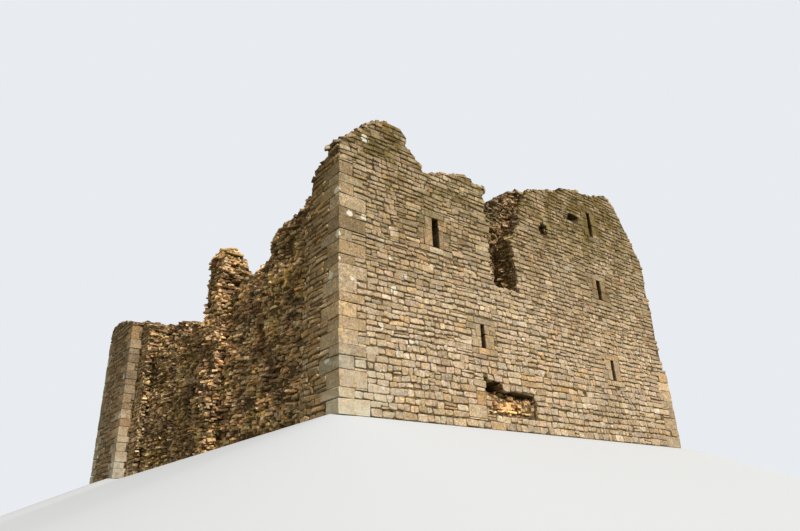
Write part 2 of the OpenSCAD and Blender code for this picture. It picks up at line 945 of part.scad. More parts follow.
module right_wall_far() {
    right_part(right_slit_y + bay_half, back_face + side_reach, 0, crest_h);
}

module right_wall_slit_surrounds() {
    color(dressed)
        set_down()
            at_right() {
                surround(right_slit_low);
                surround(right_slit_mid);
            }
}

near_corner_quoins();
front_wall_corner_foot();
front_wall_lower_slit_bay();
front_wall_corner_bay();
front_wall_upper_slit_bay();
front_wall_breach_side();
front_wall_under_breach();
breach_core();
front_wall_middle();
front_wall_low_slit_bay();
front_wall_middle_slit_bay();
front_wall_top_slit_bay();
front_wall_right();
right_corner_quoins();
robbed_opening_core();
upper_left_slit_surround();
lower_left_slit_surround();
lower_right_slit_surround();
middle_right_slit_surround();
top_right_slit_surround();
left_wall_near_core();
left_wall_saddle();
left_wall_pinnacle();
left_wall_low_core();
left_wall_far_face();
corner_turret();
turret_near_quoins();
turret_outer_quoins();
turret_back_quoins();
back_wall_left();
back_wall_left_slit_bay();
back_wall_middle();
back_wall_low_slit_bay();
back_wall_middle_slit_bay();
back_wall_right();
back_wall_slit_surrounds();
back_right_quoins();
right_wall_near();
right_wall_over_door();
right_wall_door_arch();
right_wall_middle();
right_wall_low_slit_bay();
right_wall_middle_slit_bay();
right_wall_far();
right_wall_slit_surrounds();
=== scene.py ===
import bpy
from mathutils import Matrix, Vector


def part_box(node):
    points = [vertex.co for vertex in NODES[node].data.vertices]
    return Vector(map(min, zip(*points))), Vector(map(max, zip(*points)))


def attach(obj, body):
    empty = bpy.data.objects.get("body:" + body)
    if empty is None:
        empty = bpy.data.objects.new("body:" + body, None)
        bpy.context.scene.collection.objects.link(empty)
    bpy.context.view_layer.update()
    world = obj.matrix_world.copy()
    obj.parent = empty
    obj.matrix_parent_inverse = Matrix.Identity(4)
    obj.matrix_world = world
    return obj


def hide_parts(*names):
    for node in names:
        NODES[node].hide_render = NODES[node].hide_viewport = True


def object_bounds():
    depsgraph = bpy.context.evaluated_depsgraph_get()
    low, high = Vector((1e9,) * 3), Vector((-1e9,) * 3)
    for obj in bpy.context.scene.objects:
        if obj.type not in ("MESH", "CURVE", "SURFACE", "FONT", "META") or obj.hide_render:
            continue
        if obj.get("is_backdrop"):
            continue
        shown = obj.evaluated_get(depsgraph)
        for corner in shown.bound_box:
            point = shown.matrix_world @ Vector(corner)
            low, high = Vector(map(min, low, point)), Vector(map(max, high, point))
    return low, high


bl_info = {
    "name": "Ruined castle keep",
    "version": (1, 0, 0),
    "blender": (4, 5, 0),
    "location": "View3D > Sidebar > Keep",
    "description": "Dresses the walls of a ruined keep with squared stones, rubble and weathering",
    "category": "Object",
}

import math

import bmesh
import bpy
import numpy as np
from bpy.props import FloatProperty, FloatVectorProperty, PointerProperty
from mathutils import Matrix, Vector, noise
from mathutils.bvhtree import BVHTree

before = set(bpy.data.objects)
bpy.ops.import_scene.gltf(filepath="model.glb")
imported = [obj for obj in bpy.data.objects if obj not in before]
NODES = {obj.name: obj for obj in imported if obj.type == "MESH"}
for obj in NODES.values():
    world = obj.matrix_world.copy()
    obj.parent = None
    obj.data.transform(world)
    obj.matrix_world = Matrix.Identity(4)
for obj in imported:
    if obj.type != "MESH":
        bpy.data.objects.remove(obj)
CAD_LOW, CAD_HIGH = (Vector(corner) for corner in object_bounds())
ALONG_X, ALONG_Y, UP = Vector((1, 0, 0)), Vector((0, 1, 0)), Vector((0, 0, 1))

# Where the walls stand, read from the frame
FOOT_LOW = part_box("front_wall_corner_foot")[0]
LEFT_X, FRONT_Y = FOOT_LOW.x, FOOT_LOW.y
RIGHT_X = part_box("front_wall_right")[1].x
BACK_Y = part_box("back_wall_middle")[1].y
TURRET_LOW, TURRET_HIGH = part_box("corner_turret")
WALL_T = RIGHT_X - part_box("right_wall_near")[0].x
# Heights of the two ledges of the court faces, and the set-back at each
LEDGES = (4.9, 8.4)
SET_OFF = 0.15

FRONT_SLITS = ("upper_left_slit_surround", "lower_left_slit_surround", "lower_right_slit_surround",
               "middle_right_slit_surround", "top_right_slit_surround")
QUOIN_NODES = tuple(name for name in NODES if name.endswith("_quoins"))
DRESSED_NODES = FRONT_SLITS + QUOIN_NODES + (
    "back_wall_slit_surrounds", "right_wall_slit_surrounds", "right_wall_door_arch")


def linear(red, green, blue):
    """A colour as a picture shows it, from 0 to 255, as the linear colour that Blender works in"""
    shares = (channel / 255 for channel in (red, green, blue))
    return tuple(s / 12.92 if s <= 0.04045 else ((s + 0.055) / 1.055) ** 2.4 for s in shares)


# Settings that a user would change

def size(name, description, default):
    """A length in metres"""
    return FloatProperty(name=name, description=description, default=default, min=0.0, unit="LENGTH")


def colour(name, description, *channels):
    """A colour, given as a picture shows it"""
    return FloatVectorProperty(name=name, description=description, subtype="COLOR", size=3,
                               min=0.0, max=1.0, default=linear(*channels))


class KeepFacing(bpy.types.PropertyGroup):
    """Sizes of the squared stones that face the walls"""
    low_course: size("Low course", "Height of a course at the foot", 0.228)
    high_course: size("High course", "Height of a course at the crest", 0.17)
    shortest: size("Shortest stone", "Least length of a facing stone", 0.11)
    middling: size("Middling stone", "Usual length of a facing stone", 0.31)
    longest: size("Longest stone", "Greatest length of a facing stone", 0.85)
    bed_joint: size("Bed joint", "Gap between two courses", 0.03)
    head_joint: size("Head joint", "Gap between two stones of a course", 0.015)
    proud: size("Proud", "How far a stone stands out from its mortar", 0.03)
    bevel: size("Worn edge", "Width of a stone's worn edge", 0.03)
    wander: size("Wander", "How far a bed wanders up and down along the wall", 0.045)


class KeepDressed(bpy.types.PropertyGroup):
    """Sizes of the corner stones and of the stones round the openings"""
    joint: size("Joint", "Gap between two dressed stones", 0.014)
    proud: size("Proud", "How far a dressed stone stands out from the wall", 0.034)
    bevel: size("Worn edge", "Width of a dressed stone's worn edge", 0.018)


class KeepRubble(bpy.types.PropertyGroup):
    """Sizes of the rough stones of the core"""
    least_row: size("Least row", "Least height of a row of rubble", 0.055)
    most_row: size("Greatest row", "Greatest height of a row of rubble", 0.125)
    length: size("Length", "Usual length of a rough stone", 0.27)
    depth: size("Depth", "Depth of a rough stone", 0.4)
    proud: size("Proud", "Most that a rough stone stands out", 0.24)
    top_stone: size("Top stone", "Usual length of a stone on a broken top", 0.25)


class KeepColours(bpy.types.PropertyGroup):
    """Colours of the stones and of what lies between and on them"""
    buff: colour("Buff", "Commonest facing stone", 196, 177, 148)
    pink: colour("Pinkish tan", "Facing stone with a pink cast", 200, 173, 149)
    tan: colour("Warm tan", "Warmer facing stone", 189, 162, 126)
    golden: colour("Golden", "Iron-stained stone", 196, 155, 106)
    grey: colour("Grey buff", "Greyer stone", 184, 171, 148)
    pale: colour("Pale", "Palest stone", 222, 209, 183)
    brown: colour("Brown", "Darkest facing stone", 160, 134, 99)
    mortar: colour("Mortar", "Decayed mortar between the stones", 140, 118, 84)
    # The core colour is near black: bedding of the rubble, and painted shade in the gaps between the
    # rough stones
    core: colour("Core", "Bedding of the rubble", 50, 37, 21)
    rubble: colour("Rubble", "Commonest rubble", 182, 155, 118)
    red_rubble: colour("Red rubble", "Redder rubble", 164, 124, 92)
    dark_rubble: colour("Dark rubble", "Darker rubble", 120, 99, 66)
    moss: colour("Moss stain", "Stain on what faces the sky", 98, 92, 52)
    lichen: colour("Lichen", "Thin crust of lichen", 205, 200, 182)
    crust: colour("White lichen", "Round blotches of white lichen", 236, 230, 214)
    floor: colour("Floor", "Floor round the keep", 188, 191, 195)
    ground: colour("Ground", "What the floor throws back on the walls", 116, 118, 96)


PALETTES = {
    "facing": (("buff", 0.3), ("pink", 0.22), ("tan", 0.2), ("grey", 0.12), ("pale", 0.06),
               ("golden", 0.06), ("brown", 0.04)),
    "dressed": (("tan", 0.6), ("buff", 0.3), ("golden", 0.06), ("grey", 0.04)),
    "golden": (("golden", 0.5), ("tan", 0.5)),
    # Warmer stone for the faces that stand in shade: the warm cast of the light in their shade is
    # painted into it
    "shaded": (("tan", 0.3), ("golden", 0.24), ("brown", 0.26), ("buff", 0.1), ("grey", 0.1)),
    "rubble": (("rubble", 0.42), ("red_rubble", 0.16), ("dark_rubble", 0.2), ("brown", 0.06),
               ("golden", 0.04), ("grey", 0.12)),
    "warm_rubble": (("golden", 0.24), ("rubble", 0.3), ("red_rubble", 0.36), ("buff", 0.1)),
    "tops": (("brown", 0.3), ("rubble", 0.24), ("grey", 0.2), ("buff", 0.16), ("dark_rubble", 0.1)),
}


# Planes of facing

class Face:
    """A plane of facing: its left end at the foot, the way into the wall, and what carries it"""

    def __init__(self, start, inward, width, low, high, prefixes):
        self.start = Vector((*start, 0))
        self.inward = Vector((*inward, 0))
        self.along = self.inward.cross(UP)
        self.width = width
        self.low = low
        self.high = high
        self.nodes = {n for n in NODES if n.startswith(prefixes)}
        self.covered = []

    def point(self, u, z, out=0.0):
        """A point by its place along the face, its height and how far outside it lies"""
        return self.start + self.along * u + UP * z - self.inward * out

    def place(self, point):
        """Place of a point along the face"""
        return (Vector(point) - self.start).dot(self.along)

    def cover(self, u0, u1, z0, z1):
        """Notes that dressed stone covers the face there"""
        self.covered.append((min(u0, u1), max(u0, u1), z0, z1))


def faces_round(low, high, carriers):
    """The outer faces of a rectangle, from the near one on by the left, with what carries each"""
    (x0, y0), (x1, y1) = low, high
    places = (((x0, y0), (0, 1), x1 - x0), ((x0, y1), (1, 0), y1 - y0),
              ((x1, y1), (0, -1), x1 - x0), ((x1, y0), (-1, 0), y1 - y0))
    return {name: Face(*place, 0.0, CAD_HIGH.z, prefixes)
            for (name, prefixes), place in zip(carriers.items(), places)}


FACES = faces_round((LEFT_X, FRONT_Y), (RIGHT_X, BACK_Y), {
    "front": ("front_wall", "near_corner", "right_corner") + FRONT_SLITS,
    "left": ("front_wall_corner", "near_corner", "left_wall_far_face"),
    "back": ("back_wall", "back_right"),
    "right": ("right_wall", "right_corner", "back_right", "front_wall_right", "back_wall_right"),
})
TURRET_FACES = faces_round(TURRET_LOW.xy, TURRET_HIGH.xy, dict.fromkeys(
    ("turret_near", "turret_outer", "turret_back", "turret_right"), ("corner_turret", "turret_")))
FACES.update(TURRET_FACES)


def storeys(start, inward, width, prefixes):
    """The three planes of a court face, each set back from the one below"""
    heights = (0.0, *LEDGES, CAD_HIGH.z)
    return [Face((start[0] + inward[0] * SET_OFF * i, start[1] + inward[1] * SET_OFF * i),
                 inward, width, heights[i], heights[i + 1], prefixes) for i in range(3)]


LENGTH_X, LENGTH_Y = RIGHT_X - LEFT_X, BACK_Y - FRONT_Y
COURT_FACES = {
    "front": storeys((RIGHT_X, FRONT_Y + WALL_T), (0, -1), LENGTH_X, ("front_wall", "breach_core")),
    "back": storeys((LEFT_X, BACK_Y - WALL_T), (0, 1), LENGTH_X, ("back_wall",)),
    "right": storeys((RIGHT_X - WALL_T, BACK_Y), (1, 0), LENGTH_Y, ("right_wall",)),
    "left": storeys((LEFT_X + WALL_T, FRONT_Y), (-1, 0), LENGTH_Y, ("left_wall",)),
}
ALL_FACES = list(FACES.values()) + [f for faces in COURT_FACES.values() for f in faces]


# Rays against the CAD solids

def solid_trees():
    """One ray tree of all solids with each triangle's owner, and one tree for each node"""
    points, triangles, owners, trees = [], [], [], {}
    for name, item in NODES.items():
        start = len(points)
        own = [v.co.copy() for v in item.data.vertices]
        faces = [tuple(p.vertices) for p in item.data.polygons]
        trees[name] = (BVHTree.FromPolygons(own, faces), *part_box(name))
        points += own
        triangles += [tuple(i + start for i in f) for f in faces]
        owners += [name] * len(faces)
    return BVHTree.FromPolygons(points, triangles), owners, trees


TREE, OWNERS, NODE_TREES = solid_trees()
# How far outside a face its rays start, and how far past or short of its plane they may end
REACH, PAST, SHORT = 0.5, 0.02, 0.05
# Cosine of the most that a bare plane may be turned away from its face
SQUARE = 0.9
# A way that runs along no wall
SKEW = Vector((0.31, 0.17, 0.93))
# Least height of a part of a course, least height or length of what else takes a stone, and how far
# outside a solid it is tested whether another one covers the place
LEAST_PART, LEAST, PROBE = 0.06, 0.05, 0.03


def inside_other(point, own=None, dressed=True):
    """True where a point lies inside a solid other than its own, dressed stones counted or not"""
    for name, (tree, low, high) in NODE_TREES.items():
        if name == own or (name in DRESSED_NODES and not dressed):
            continue
        if any(point[i] < low[i] or point[i] > high[i] for i in range(3)):
            continue
        hit, normal, _, _ = tree.ray_cast(point, SKEW)
        if hit is not None and normal.dot(SKEW) > 0:
            return True
    return False


BARE, COVERED, BROKEN = range(3)


def free_part(face, u, low, high):
    """The tallest part of a course that no dressed stone covers at a place, or None"""
    free = [(low, high)]
    for u0, u1, z0, z1 in face.covered:
        if u0 < u < u1:
            cut = [part for a, b in free for part in ((a, min(b, z0)), (max(a, z1), b))]
            free = [part for part in cut if part[0] < part[1]]
    tallest = max(free, key=lambda part: part[1] - part[0], default=(0, 0))
    return tallest if tallest[1] - tallest[0] > LEAST_PART else None


def sight(face, u, z):
    """What is seen of a face there: its own bare plane, or nothing left of it"""
    hit, normal, index, distance = TREE.ray_cast(face.point(u, z, REACH), face.inward, REACH + PAST)
    if hit is None or normal.dot(face.inward) > -SQUARE or distance < REACH - SHORT:
        return BROKEN
    return BARE if OWNERS[index] in face.nodes else BROKEN


def merged_solid(node):
    """A node's mesh with its loose triangles joined"""
    bm = bmesh.new()
    bm.from_mesh(NODES[node].data)
    bmesh.ops.remove_doubles(bm, verts=bm.verts, dist=0.0005)
    return bm


# Stones joined into one mesh

def stone_template(segments, corner_segments=0):
    """A cube two units wide with edges bevelled by a tenth, the front looking down -y: those of
    the front, and first those that run back from it where they have segments too.
    Gives each point's corner, its place beyond that corner in bevels, and the faces, with a mark
    on those that are shaded flat."""
    bevel = 0.1
    bm = bmesh.new()
    bmesh.ops.create_cube(bm, size=2)
    for in_front, number in ((1, corner_segments), (2, segments)):
        edges = [e for e in bm.edges if sum(v.co.y < 0 for v in e.verts) == in_front]
        if number:
            bmesh.ops.bevel(bm, geom=edges, offset=bevel, offset_type="OFFSET", segments=number,
                            profile=0.5, affect="EDGES", material=-1)
    bmesh.ops.recalc_face_normals(bm, faces=bm.faces)
    bm.verts.index_update()
    points = np.array([v.co[:] for v in bm.verts])
    signs = np.sign(points)
    loops = [v.index for f in bm.faces for v in f.verts]
    counts = [len(f.verts) for f in bm.faces]
    flat = [segments == 1 or f.calc_area() > 1 for f in bm.faces]
    bm.free()
    corners = ((signs > 0) @ np.array((4, 2, 1))).astype(int)
    return signs, (points - signs) / bevel, corners, np.array(loops), np.array(counts), flat


TEMPLATES = {
    "facing": stone_template(2),
    "worn": stone_template(2, 1),
    "rubble": stone_template(1),
}


class Stones:
    """The stones of one piece, kept as numbers until they are joined into a mesh"""

    # Scale and strength of the patches in which one colour is commoner
    PATCH_SCALE, PATCH_STRENGTH = 0.55, 0.35
    # Share of the palette's mean in each stone's colour
    EVENNESS = 0.5
    # How far the points of a stone stray besides, as a share of what its corners may
    CHIP = 0.25
    # How far the stones stay inside the outermost planes of the solids
    MARGIN = 0.002

    def __init__(self, name, template, palette, seed, contrast=0.12, shades_recesses=True, shade=1.0):
        self.name = name
        self.contrast = contrast
        self.shade = shade
        self.shades_recesses = shades_recesses
        self.template = TEMPLATES[template]
        self.palette = palette
        self.rng = np.random.default_rng(seed)
        self.rows = []

    def add(self, centre, along, inward, half, bevel, wobble, shade=1.0):
        """One stone by its middle, two of its axes, its half sizes, its worn edge (one width, or
        one along each axis), how far its corners may stray, and how light it is"""
        up = along.cross(inward)
        self.rows.append((centre, (along, inward, up), half, bevel, wobble, shade))

    def tints(self, centres, shades):
        """A colour for each stone, out of the palette, with patches where one colour is commoner"""
        colours = bpy.context.scene.keep_colours
        names, weights = zip(*PALETTES[self.palette])
        table = np.array([getattr(colours, name)[:] for name in names])
        steps = np.cumsum(weights) / sum(weights)
        draw = self.rng.random(len(centres))
        patch = np.array([noise.noise(Vector(c) * self.PATCH_SCALE) for c in centres])
        draw = np.clip(draw + patch * self.PATCH_STRENGTH, 0, 0.999)
        chosen = table[np.minimum(np.searchsorted(steps, draw), len(names) - 1)]
        usual = np.array(weights) @ table / sum(weights)
        mixed = chosen * (1 - self.EVENNESS) + usual * self.EVENNESS
        light = np.exp(self.rng.normal(0, self.contrast, len(centres))) * shades * self.shade
        return mixed * light[:, None]

    def build(self, look):
        """Joins the stones into one mesh of a material's look and places it in the frame"""
        signs, offsets, corners, loops, counts, flat = self.template
        centres, axes, halves, bevels, wobbles, shades = zip(*self.rows)
        centres = np.array([c[:] for c in centres])
        axes = np.array([[a[:] for a in three] for three in axes])
        halves = np.array(halves)
        bevels = np.array([np.broadcast_to(b, 3) for b in bevels])
        number, points = len(centres), len(signs)
        wobbles = np.array(wobbles)[:, None, :]
        stray = self.rng.uniform(-1, 1, (number, 8, 3)) * wobbles
        chips = self.rng.uniform(-self.CHIP, self.CHIP, (number, points, 3)) * wobbles
        local = (signs[None] * halves[:, None] + offsets[None] * bevels[:, None]
                 + stray[:, corners] + chips)
        places = np.einsum("nvi,nij->nvj", local, axes) + centres[:, None]
        places = np.clip(places, np.array(CAD_LOW) + self.MARGIN * np.array((1, 1, 0)),
                         np.array(CAD_HIGH) - self.MARGIN)
        mesh = bpy.data.meshes.new(self.name)
        mesh.vertices.add(number * points)
        mesh.vertices.foreach_set("co", places.ravel())
        mesh.loops.add(number * len(loops))
        starts = np.arange(number)[:, None]
        mesh.loops.foreach_set("vertex_index", (loops[None] + starts * points).ravel())
        mesh.polygons.add(number * len(counts))
        first = np.concatenate(([0], np.cumsum(counts)[:-1]))
        mesh.polygons.foreach_set("loop_start", (first[None] + starts * len(loops)).ravel())
        sharp = mesh.attributes.new("sharp_face", "BOOLEAN", "FACE")
        sharp.data.foreach_set("value", np.tile(flat, number))
        # How far each point lies behind its stone's front, from which the material paints shade that
        # deepens towards the back; zero for stones that go without it
        behind = local[:, :, 1] + halves[:, None, 1]
        depth = mesh.attributes.new("stone_depth", "FLOAT", "POINT")
        depth.data.foreach_set("value", behind.ravel() if self.shades_recesses else np.zeros(behind.size))
        tint = np.ones((number, points, 4))
        tint[:, :, :3] = self.tints(centres, np.array(shades))[:, None]
        tint[:, :, 3] = self.rng.random(number)[:, None]
        attribute = mesh.attributes.new("stone_tint", "FLOAT_COLOR", "POINT")
        attribute.data.foreach_set("color", tint.ravel())
        mesh.update(calc_edges=True)
        mesh.validate()
        mesh.materials.append(material(look))
        item = bpy.data.objects.new(self.name, mesh)
        bpy.context.scene.collection.objects.link(item)
        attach(item, "root")
        return item


# Materials

# Specular level of stone and ground
DULL = 0.2
# How far apart the patterns of two stones lie whose random numbers differ most
STONE_SHIFT = (37, 17, 29)
# What each stain multiplies a colour by, what the painted shade deep behind a stone's front
# multiplies it by, and what the mottling does at its warmest and its coolest
DAMP, SOOT, IRON = (0.62, 0.56, 0.46), (0.38, 0.32, 0.32), (0.96, 0.98, 0.7)
ALGAE, RECESS_SHADE, OLD_MORTAR = (0.33, 0.31, 0.14), (0.2, 0.16, 0.11), (0.6, 0.58, 0.45)
WARM, COOL = (1.05, 0.995, 0.8), (0.955, 1.0, 1.22)
# Heights between which algae comes in
ALGAE_HEIGHTS = (3.4, 10.5)
# White lichen: scale of its blotches, the distances from the near corner between which it grows
# rare, and the share that is left
SPOT_SCALE, SPOT_REACHES, FEW_SPOTS = 1.8, (2, 5), 0.12
# The pale foot of the near corner: heights between which it fades in downwards, and distances from
# the corner between which it fades out
PALE_HEIGHTS, PALE_REACHES = (2.8, 0.4), (0.9, 2.6)


class Nodes:
    """Adds nodes to a node tree and links them"""

    def __init__(self, tree):
        self.tree = tree

    def node(self, kind, inputs=None, **settings):
        made = self.tree.nodes.new(kind)
        for key, value in settings.items():
            setattr(made, key, value)
        for key, value in (inputs or {}).items():
            if isinstance(value, bpy.types.NodeSocket):
                self.tree.links.new(value, made.inputs[key])
            else:
                made.inputs[key].default_value = value
        return made

    def math(self, operation, *values):
        return self.node("ShaderNodeMath", dict(enumerate(values)), operation=operation).outputs[0]

    def vector(self, operation, *values):
        made = self.node("ShaderNodeVectorMath", dict(enumerate(values)), operation=operation)
        return made.outputs[0]

    def seen(self):
        """1 on rays from the camera and on those that gloss and clear things send on, otherwise 0"""
        path = self.node("ShaderNodeLightPath").outputs
        direct = self.math("MAXIMUM", path["Is Camera Ray"], path["Is Glossy Ray"])
        return self.math("MAXIMUM", direct, path["Is Transmission Ray"])


class Shader(Nodes):
    """A new material, and the patterns that the materials here are made of"""

    def __init__(self, name):
        self.material = bpy.data.materials.new(name)
        self.material.use_nodes = True
        super().__init__(self.material.node_tree)
        self.surface = self.tree.nodes["Principled BSDF"]
        self.surface.inputs["Specular IOR Level"].default_value = DULL
        self.coordinates = self.node("ShaderNodeTexCoord").outputs["Object"]

    def noise(self, scale, detail=2.0, vector=None, roughness=0.55):
        inputs = {"Vector": vector or self.coordinates, "Scale": scale, "Detail": detail,
                  "Roughness": roughness}
        return self.node("ShaderNodeTexNoise", inputs).outputs["Fac"]

    def spread(self, value, low, high, to_low, to_high):
        """A value stretched from one range to another"""
        made = self.node("ShaderNodeMapRange", {"Value": value, "From Min": low, "From Max": high,
                                                "To Min": to_low, "To Max": to_high})
        return made.outputs["Result"]

    def times(self, first, second):
        return self.math("MULTIPLY", first, second)

    def plus(self, first, second):
        return self.math("ADD", first, second)

    def mix(self, share, first, second, blend="MIX"):
        made = self.node("ShaderNodeMix", {0: share}, data_type="RGBA", blend_type=blend)
        for socket, value in ((made.inputs[6], first), (made.inputs[7], second)):
            if isinstance(value, bpy.types.NodeSocket):
                self.tree.links.new(value, socket)
            else:
                socket.default_value = (*value, 1) if len(value) == 3 else value
        return made.outputs[2]

    def stained(self, share, first, stain):
        """A colour multiplied by another colour, such as a stain's or that of painted shade, as far as
        the share says
        """
        return self.mix(share, first, stain, "MULTIPLY")

    def scaled(self, value, factor):
        """A colour made lighter or darker by a factor"""
        return self.vector("MULTIPLY", value, factor)

    def spots(self, scale):
        """Round blotches, at a few random places, a share of each cell of a pattern"""
        ragged, rarest, largest, rim = (0.2, 0.2, 0.2), 0.45, 0.36, 0.04
        inputs = {"Vector": self.coordinates, "Scale": 9.0, "Detail": 4.0}
        bent = self.node("ShaderNodeTexNoise", inputs).outputs["Color"]
        moved = self.vector("MULTIPLY_ADD", bent, ragged, self.coordinates)
        cells = self.node("ShaderNodeTexVoronoi", {"Vector": moved, "Scale": scale}).outputs
        parts = self.node("ShaderNodeSeparateColor", {0: cells["Color"]}).outputs
        size = self.spread(parts["Red"], rarest, 1.0, 0.0, largest)
        return self.spread(self.math("SUBTRACT", size, cells["Distance"]), 0.0, rim, 0, 1)

    def facing_sky(self, low, high):
        """How far a surface looks up, from 0 to 1"""
        normal = self.node("ShaderNodeNewGeometry").outputs["Normal"]
        height = self.node("ShaderNodeSeparateXYZ", {0: normal}).outputs["Z"]
        return self.spread(height, low, high, 0, 1)

    def place(self, axis, low, high, to_low=0, to_high=1):
        """A value that runs from one to another between two places along an axis"""
        place = self.node("ShaderNodeSeparateXYZ", {0: self.coordinates}).outputs[axis]
        return self.spread(place, low, high, to_low, to_high)

    def finish(self, colour_socket, relief, distance, roughness):
        """Sets the colour, the relief and the roughness, and gives the material"""
        self.tree.links.new(colour_socket, self.surface.inputs["Base Color"])
        self.surface.inputs["Roughness"].default_value = roughness
        bump = self.node("ShaderNodeBump", {"Height": relief, "Strength": 0.7, "Distance": distance})
        self.tree.links.new(bump.outputs["Normal"], self.surface.inputs["Normal"])
        return self.material


def stone_material(name, lichen=0.5, moss=0.6, weather=0.0, grain=1.0, deepest_shade=0.26, spots=0.0,
                   stain=0.0, mottle=1.0):
    """Sandstone in each stone's own tint, with grain, stains, lichen, moss and weathering, and with
    painted shade that darkens each stone towards its back. One setting gives the depth behind a
    stone's front at which this painted shade is darkest."""
    colours = bpy.context.scene.keep_colours
    s = Shader(name)
    tint = s.node("ShaderNodeAttribute", attribute_name="stone_tint").outputs
    own = s.vector("MULTIPLY_ADD", tint["Alpha"], STONE_SHIFT, s.coordinates)
    fine, blotch = s.noise(60, 3, own, 0.65), s.noise(14, 4, own, 0.65)
    base = s.scaled(tint["Color"], s.spread(fine, 0.3, 0.7, 1 - 0.1 * grain, 1 + 0.1 * grain))
    base = s.scaled(base, s.spread(s.noise(4.5, 2, own), 0.3, 0.7, 0.8, 1.2))
    base = s.scaled(base, s.spread(blotch, 0.32, 0.68, 1 - 0.44 * grain, 1 + 0.38 * grain))
    tone = s.mix(s.spread(s.noise(6.5, 4, roughness=0.7), 0.4, 0.6, 0, 1), WARM, COOL)
    base = s.mix(mottle, base, s.scaled(base, tone))
    base = s.stained(s.spread(s.noise(0.45, 3), 0.42, 0.68, 0, 0.45), base, DAMP)
    if stain:
        apart = s.vector("ADD", s.coordinates, (9, 4, 7))
        base = s.stained(s.spread(s.noise(0.8, 3), 0.5, 0.62, 0, stain), base, SOOT)
        base = s.stained(s.spread(s.noise(0.6, 3, apart), 0.5, 0.62, 0, stain), base, IRON)
    if weather:
        uneven = s.spread(s.noise(1.5, 5, roughness=0.6), 0.35, 0.65, 0.35, 1.5)
        share = s.times(s.place("Z", *ALGAE_HEIGHTS), uneven)
        base = s.stained(s.times(share, weather), base, ALGAE)
    crust = s.spread(s.noise(11, 4), 0.6, 0.7, 0, lichen)
    crust = s.times(crust, s.spread(s.noise(0.9, 2), 0.45, 0.6, 0.15, 1))
    base = s.mix(crust, base, tuple(colours.lichen))
    if spots:
        near = s.place("X", *(LEFT_X + reach for reach in SPOT_REACHES), spots, FEW_SPOTS)
        base = s.mix(s.times(s.spots(SPOT_SCALE), near), base, tuple(colours.crust))
        foot = s.place("X", *(LEFT_X + reach for reach in PALE_REACHES), 1, 0)
        foot = s.times(s.place("Z", *PALE_HEIGHTS), foot)
        pale = s.spread(s.noise(2.4, 5, roughness=0.7), 0.4, 0.6, 0.25, 0.85)
        base = s.mix(s.times(foot, pale), base, tuple(colours.lichen))
    uneven = s.spread(s.noise(4, 3), 0.35, 0.65, 0.3 * moss, moss)
    base = s.mix(s.times(s.facing_sky(0.35, 0.85), uneven), base, tuple(colours.moss))
    # Painted shade: darker the deeper a point lies behind its stone's front, in the joints and in the
    # reveals of openings
    behind = s.node("ShaderNodeAttribute", attribute_name="stone_depth").outputs["Fac"]
    base = s.stained(s.spread(behind, deepest_shade * 0.12, deepest_shade, 0, 0.85), base, RECESS_SHADE)
    relief = s.plus(s.times(s.noise(24, 4, own, 0.6), 0.7), s.times(s.noise(9, 2, own), 0.6))
    relief = s.plus(relief, s.times(fine, 0.3))
    return s.finish(base, relief, 0.032, 0.92)


def bedding_material(name, tone, other):
    """Decayed mortar and small stuff between the stones, for the CAD solids"""
    colours = bpy.context.scene.keep_colours
    s = Shader(name)
    coarse = s.noise(9, 4, roughness=0.65)
    base = s.mix(s.spread(coarse, 0.35, 0.65, 0, 1), tone, other)
    base = s.scaled(base, s.spread(s.noise(45, 3), 0.3, 0.7, 0.7, 1.25))
    base = s.stained(s.place("Z", *ALGAE_HEIGHTS), base, OLD_MORTAR)
    base = s.mix(s.times(s.facing_sky(0.4, 0.9), 0.45), base, tuple(colours.moss))
    relief = s.plus(coarse, s.times(s.noise(40, 3), 0.4))
    return s.finish(base, relief, 0.06, 0.97)


# Settings of each stone material
LOOKS = {
    "corner_sandstone": {"lichen": 0.35, "moss": 0.3, "weather": 0.55, "grain": 1.15, "spots": 0.9,
                         "mottle": 0.8},
    # The slits' stones reach their darkest painted shade close behind their fronts, so their reveals
    # look dark
    "slit_sandstone": {"lichen": 0.3, "moss": 0.3, "weather": 1.0, "deepest_shade": 0.1},
    "front_sandstone": {"weather": 0.8, "lichen": 0.6, "spots": 0.8},
    "left_sandstone": {"weather": 0.7},
    "back_sandstone": {"weather": 0.8},
    "court_sandstone": {"weather": 0.8},
    "core_rubble": {"lichen": 0.25, "moss": 0.5, "grain": 1.3, "stain": 0.8},
    "crest_rubble": {"lichen": 0.35, "moss": 0.7},
}


def material(name):
    """The named stone material, made once"""
    return bpy.data.materials.get(name) or stone_material(name, **LOOKS[name])


# Squared facing

# Spread of the lengths of squared stones, as a lognormal's
LENGTH_SPREAD = 0.36
# Step at which a course is looked over, and the shares of its height at which it is tested
STEP = 0.05
TEST_HEIGHTS = (0.2, 0.5, 0.8)
# How much longer the front's stones are at the near corner than in its middle, as a share
FRONT_TAPER = 0.25
# Heights of courses and usual lengths in them, joints and worn edges, all as shares of the usual
UNEVEN, BED_JOINTS, HEAD_JOINTS, EDGES = (0.8, 1.2), (0.2, 1.8), (0.3, 1.8), (0.7, 1.3)
# How far a course's broken end runs on or stops short, and how deep its stones are there and
# elsewhere
RAGGED, LOOSE_DEPTH, USUAL_DEPTH = (-0.1, 0.12), 0.25, 0.06
# Chance that a stone is missing, and that two thin ones take a place at least so high
MISSING, PAIRED, PAIR_HEIGHT = 0.0015, 0.07, 0.17
# How far stones stand out, as a spread round the usual and as limits
PROUD_SPREAD, PROUD_LIMITS = 0.011, (0.006, 0.048)
# Spreads of a stone's turn in plan, of its lean out of the wall and of its tilt along the bed
TURN, LEAN, TILT = 0.05, 0.07, 0.015
# Height from which a stone has a full bed joint, and how much wider those are at the crest
FULL_JOINT_HEIGHT, CREST_JOINT = 0.18, 0.35


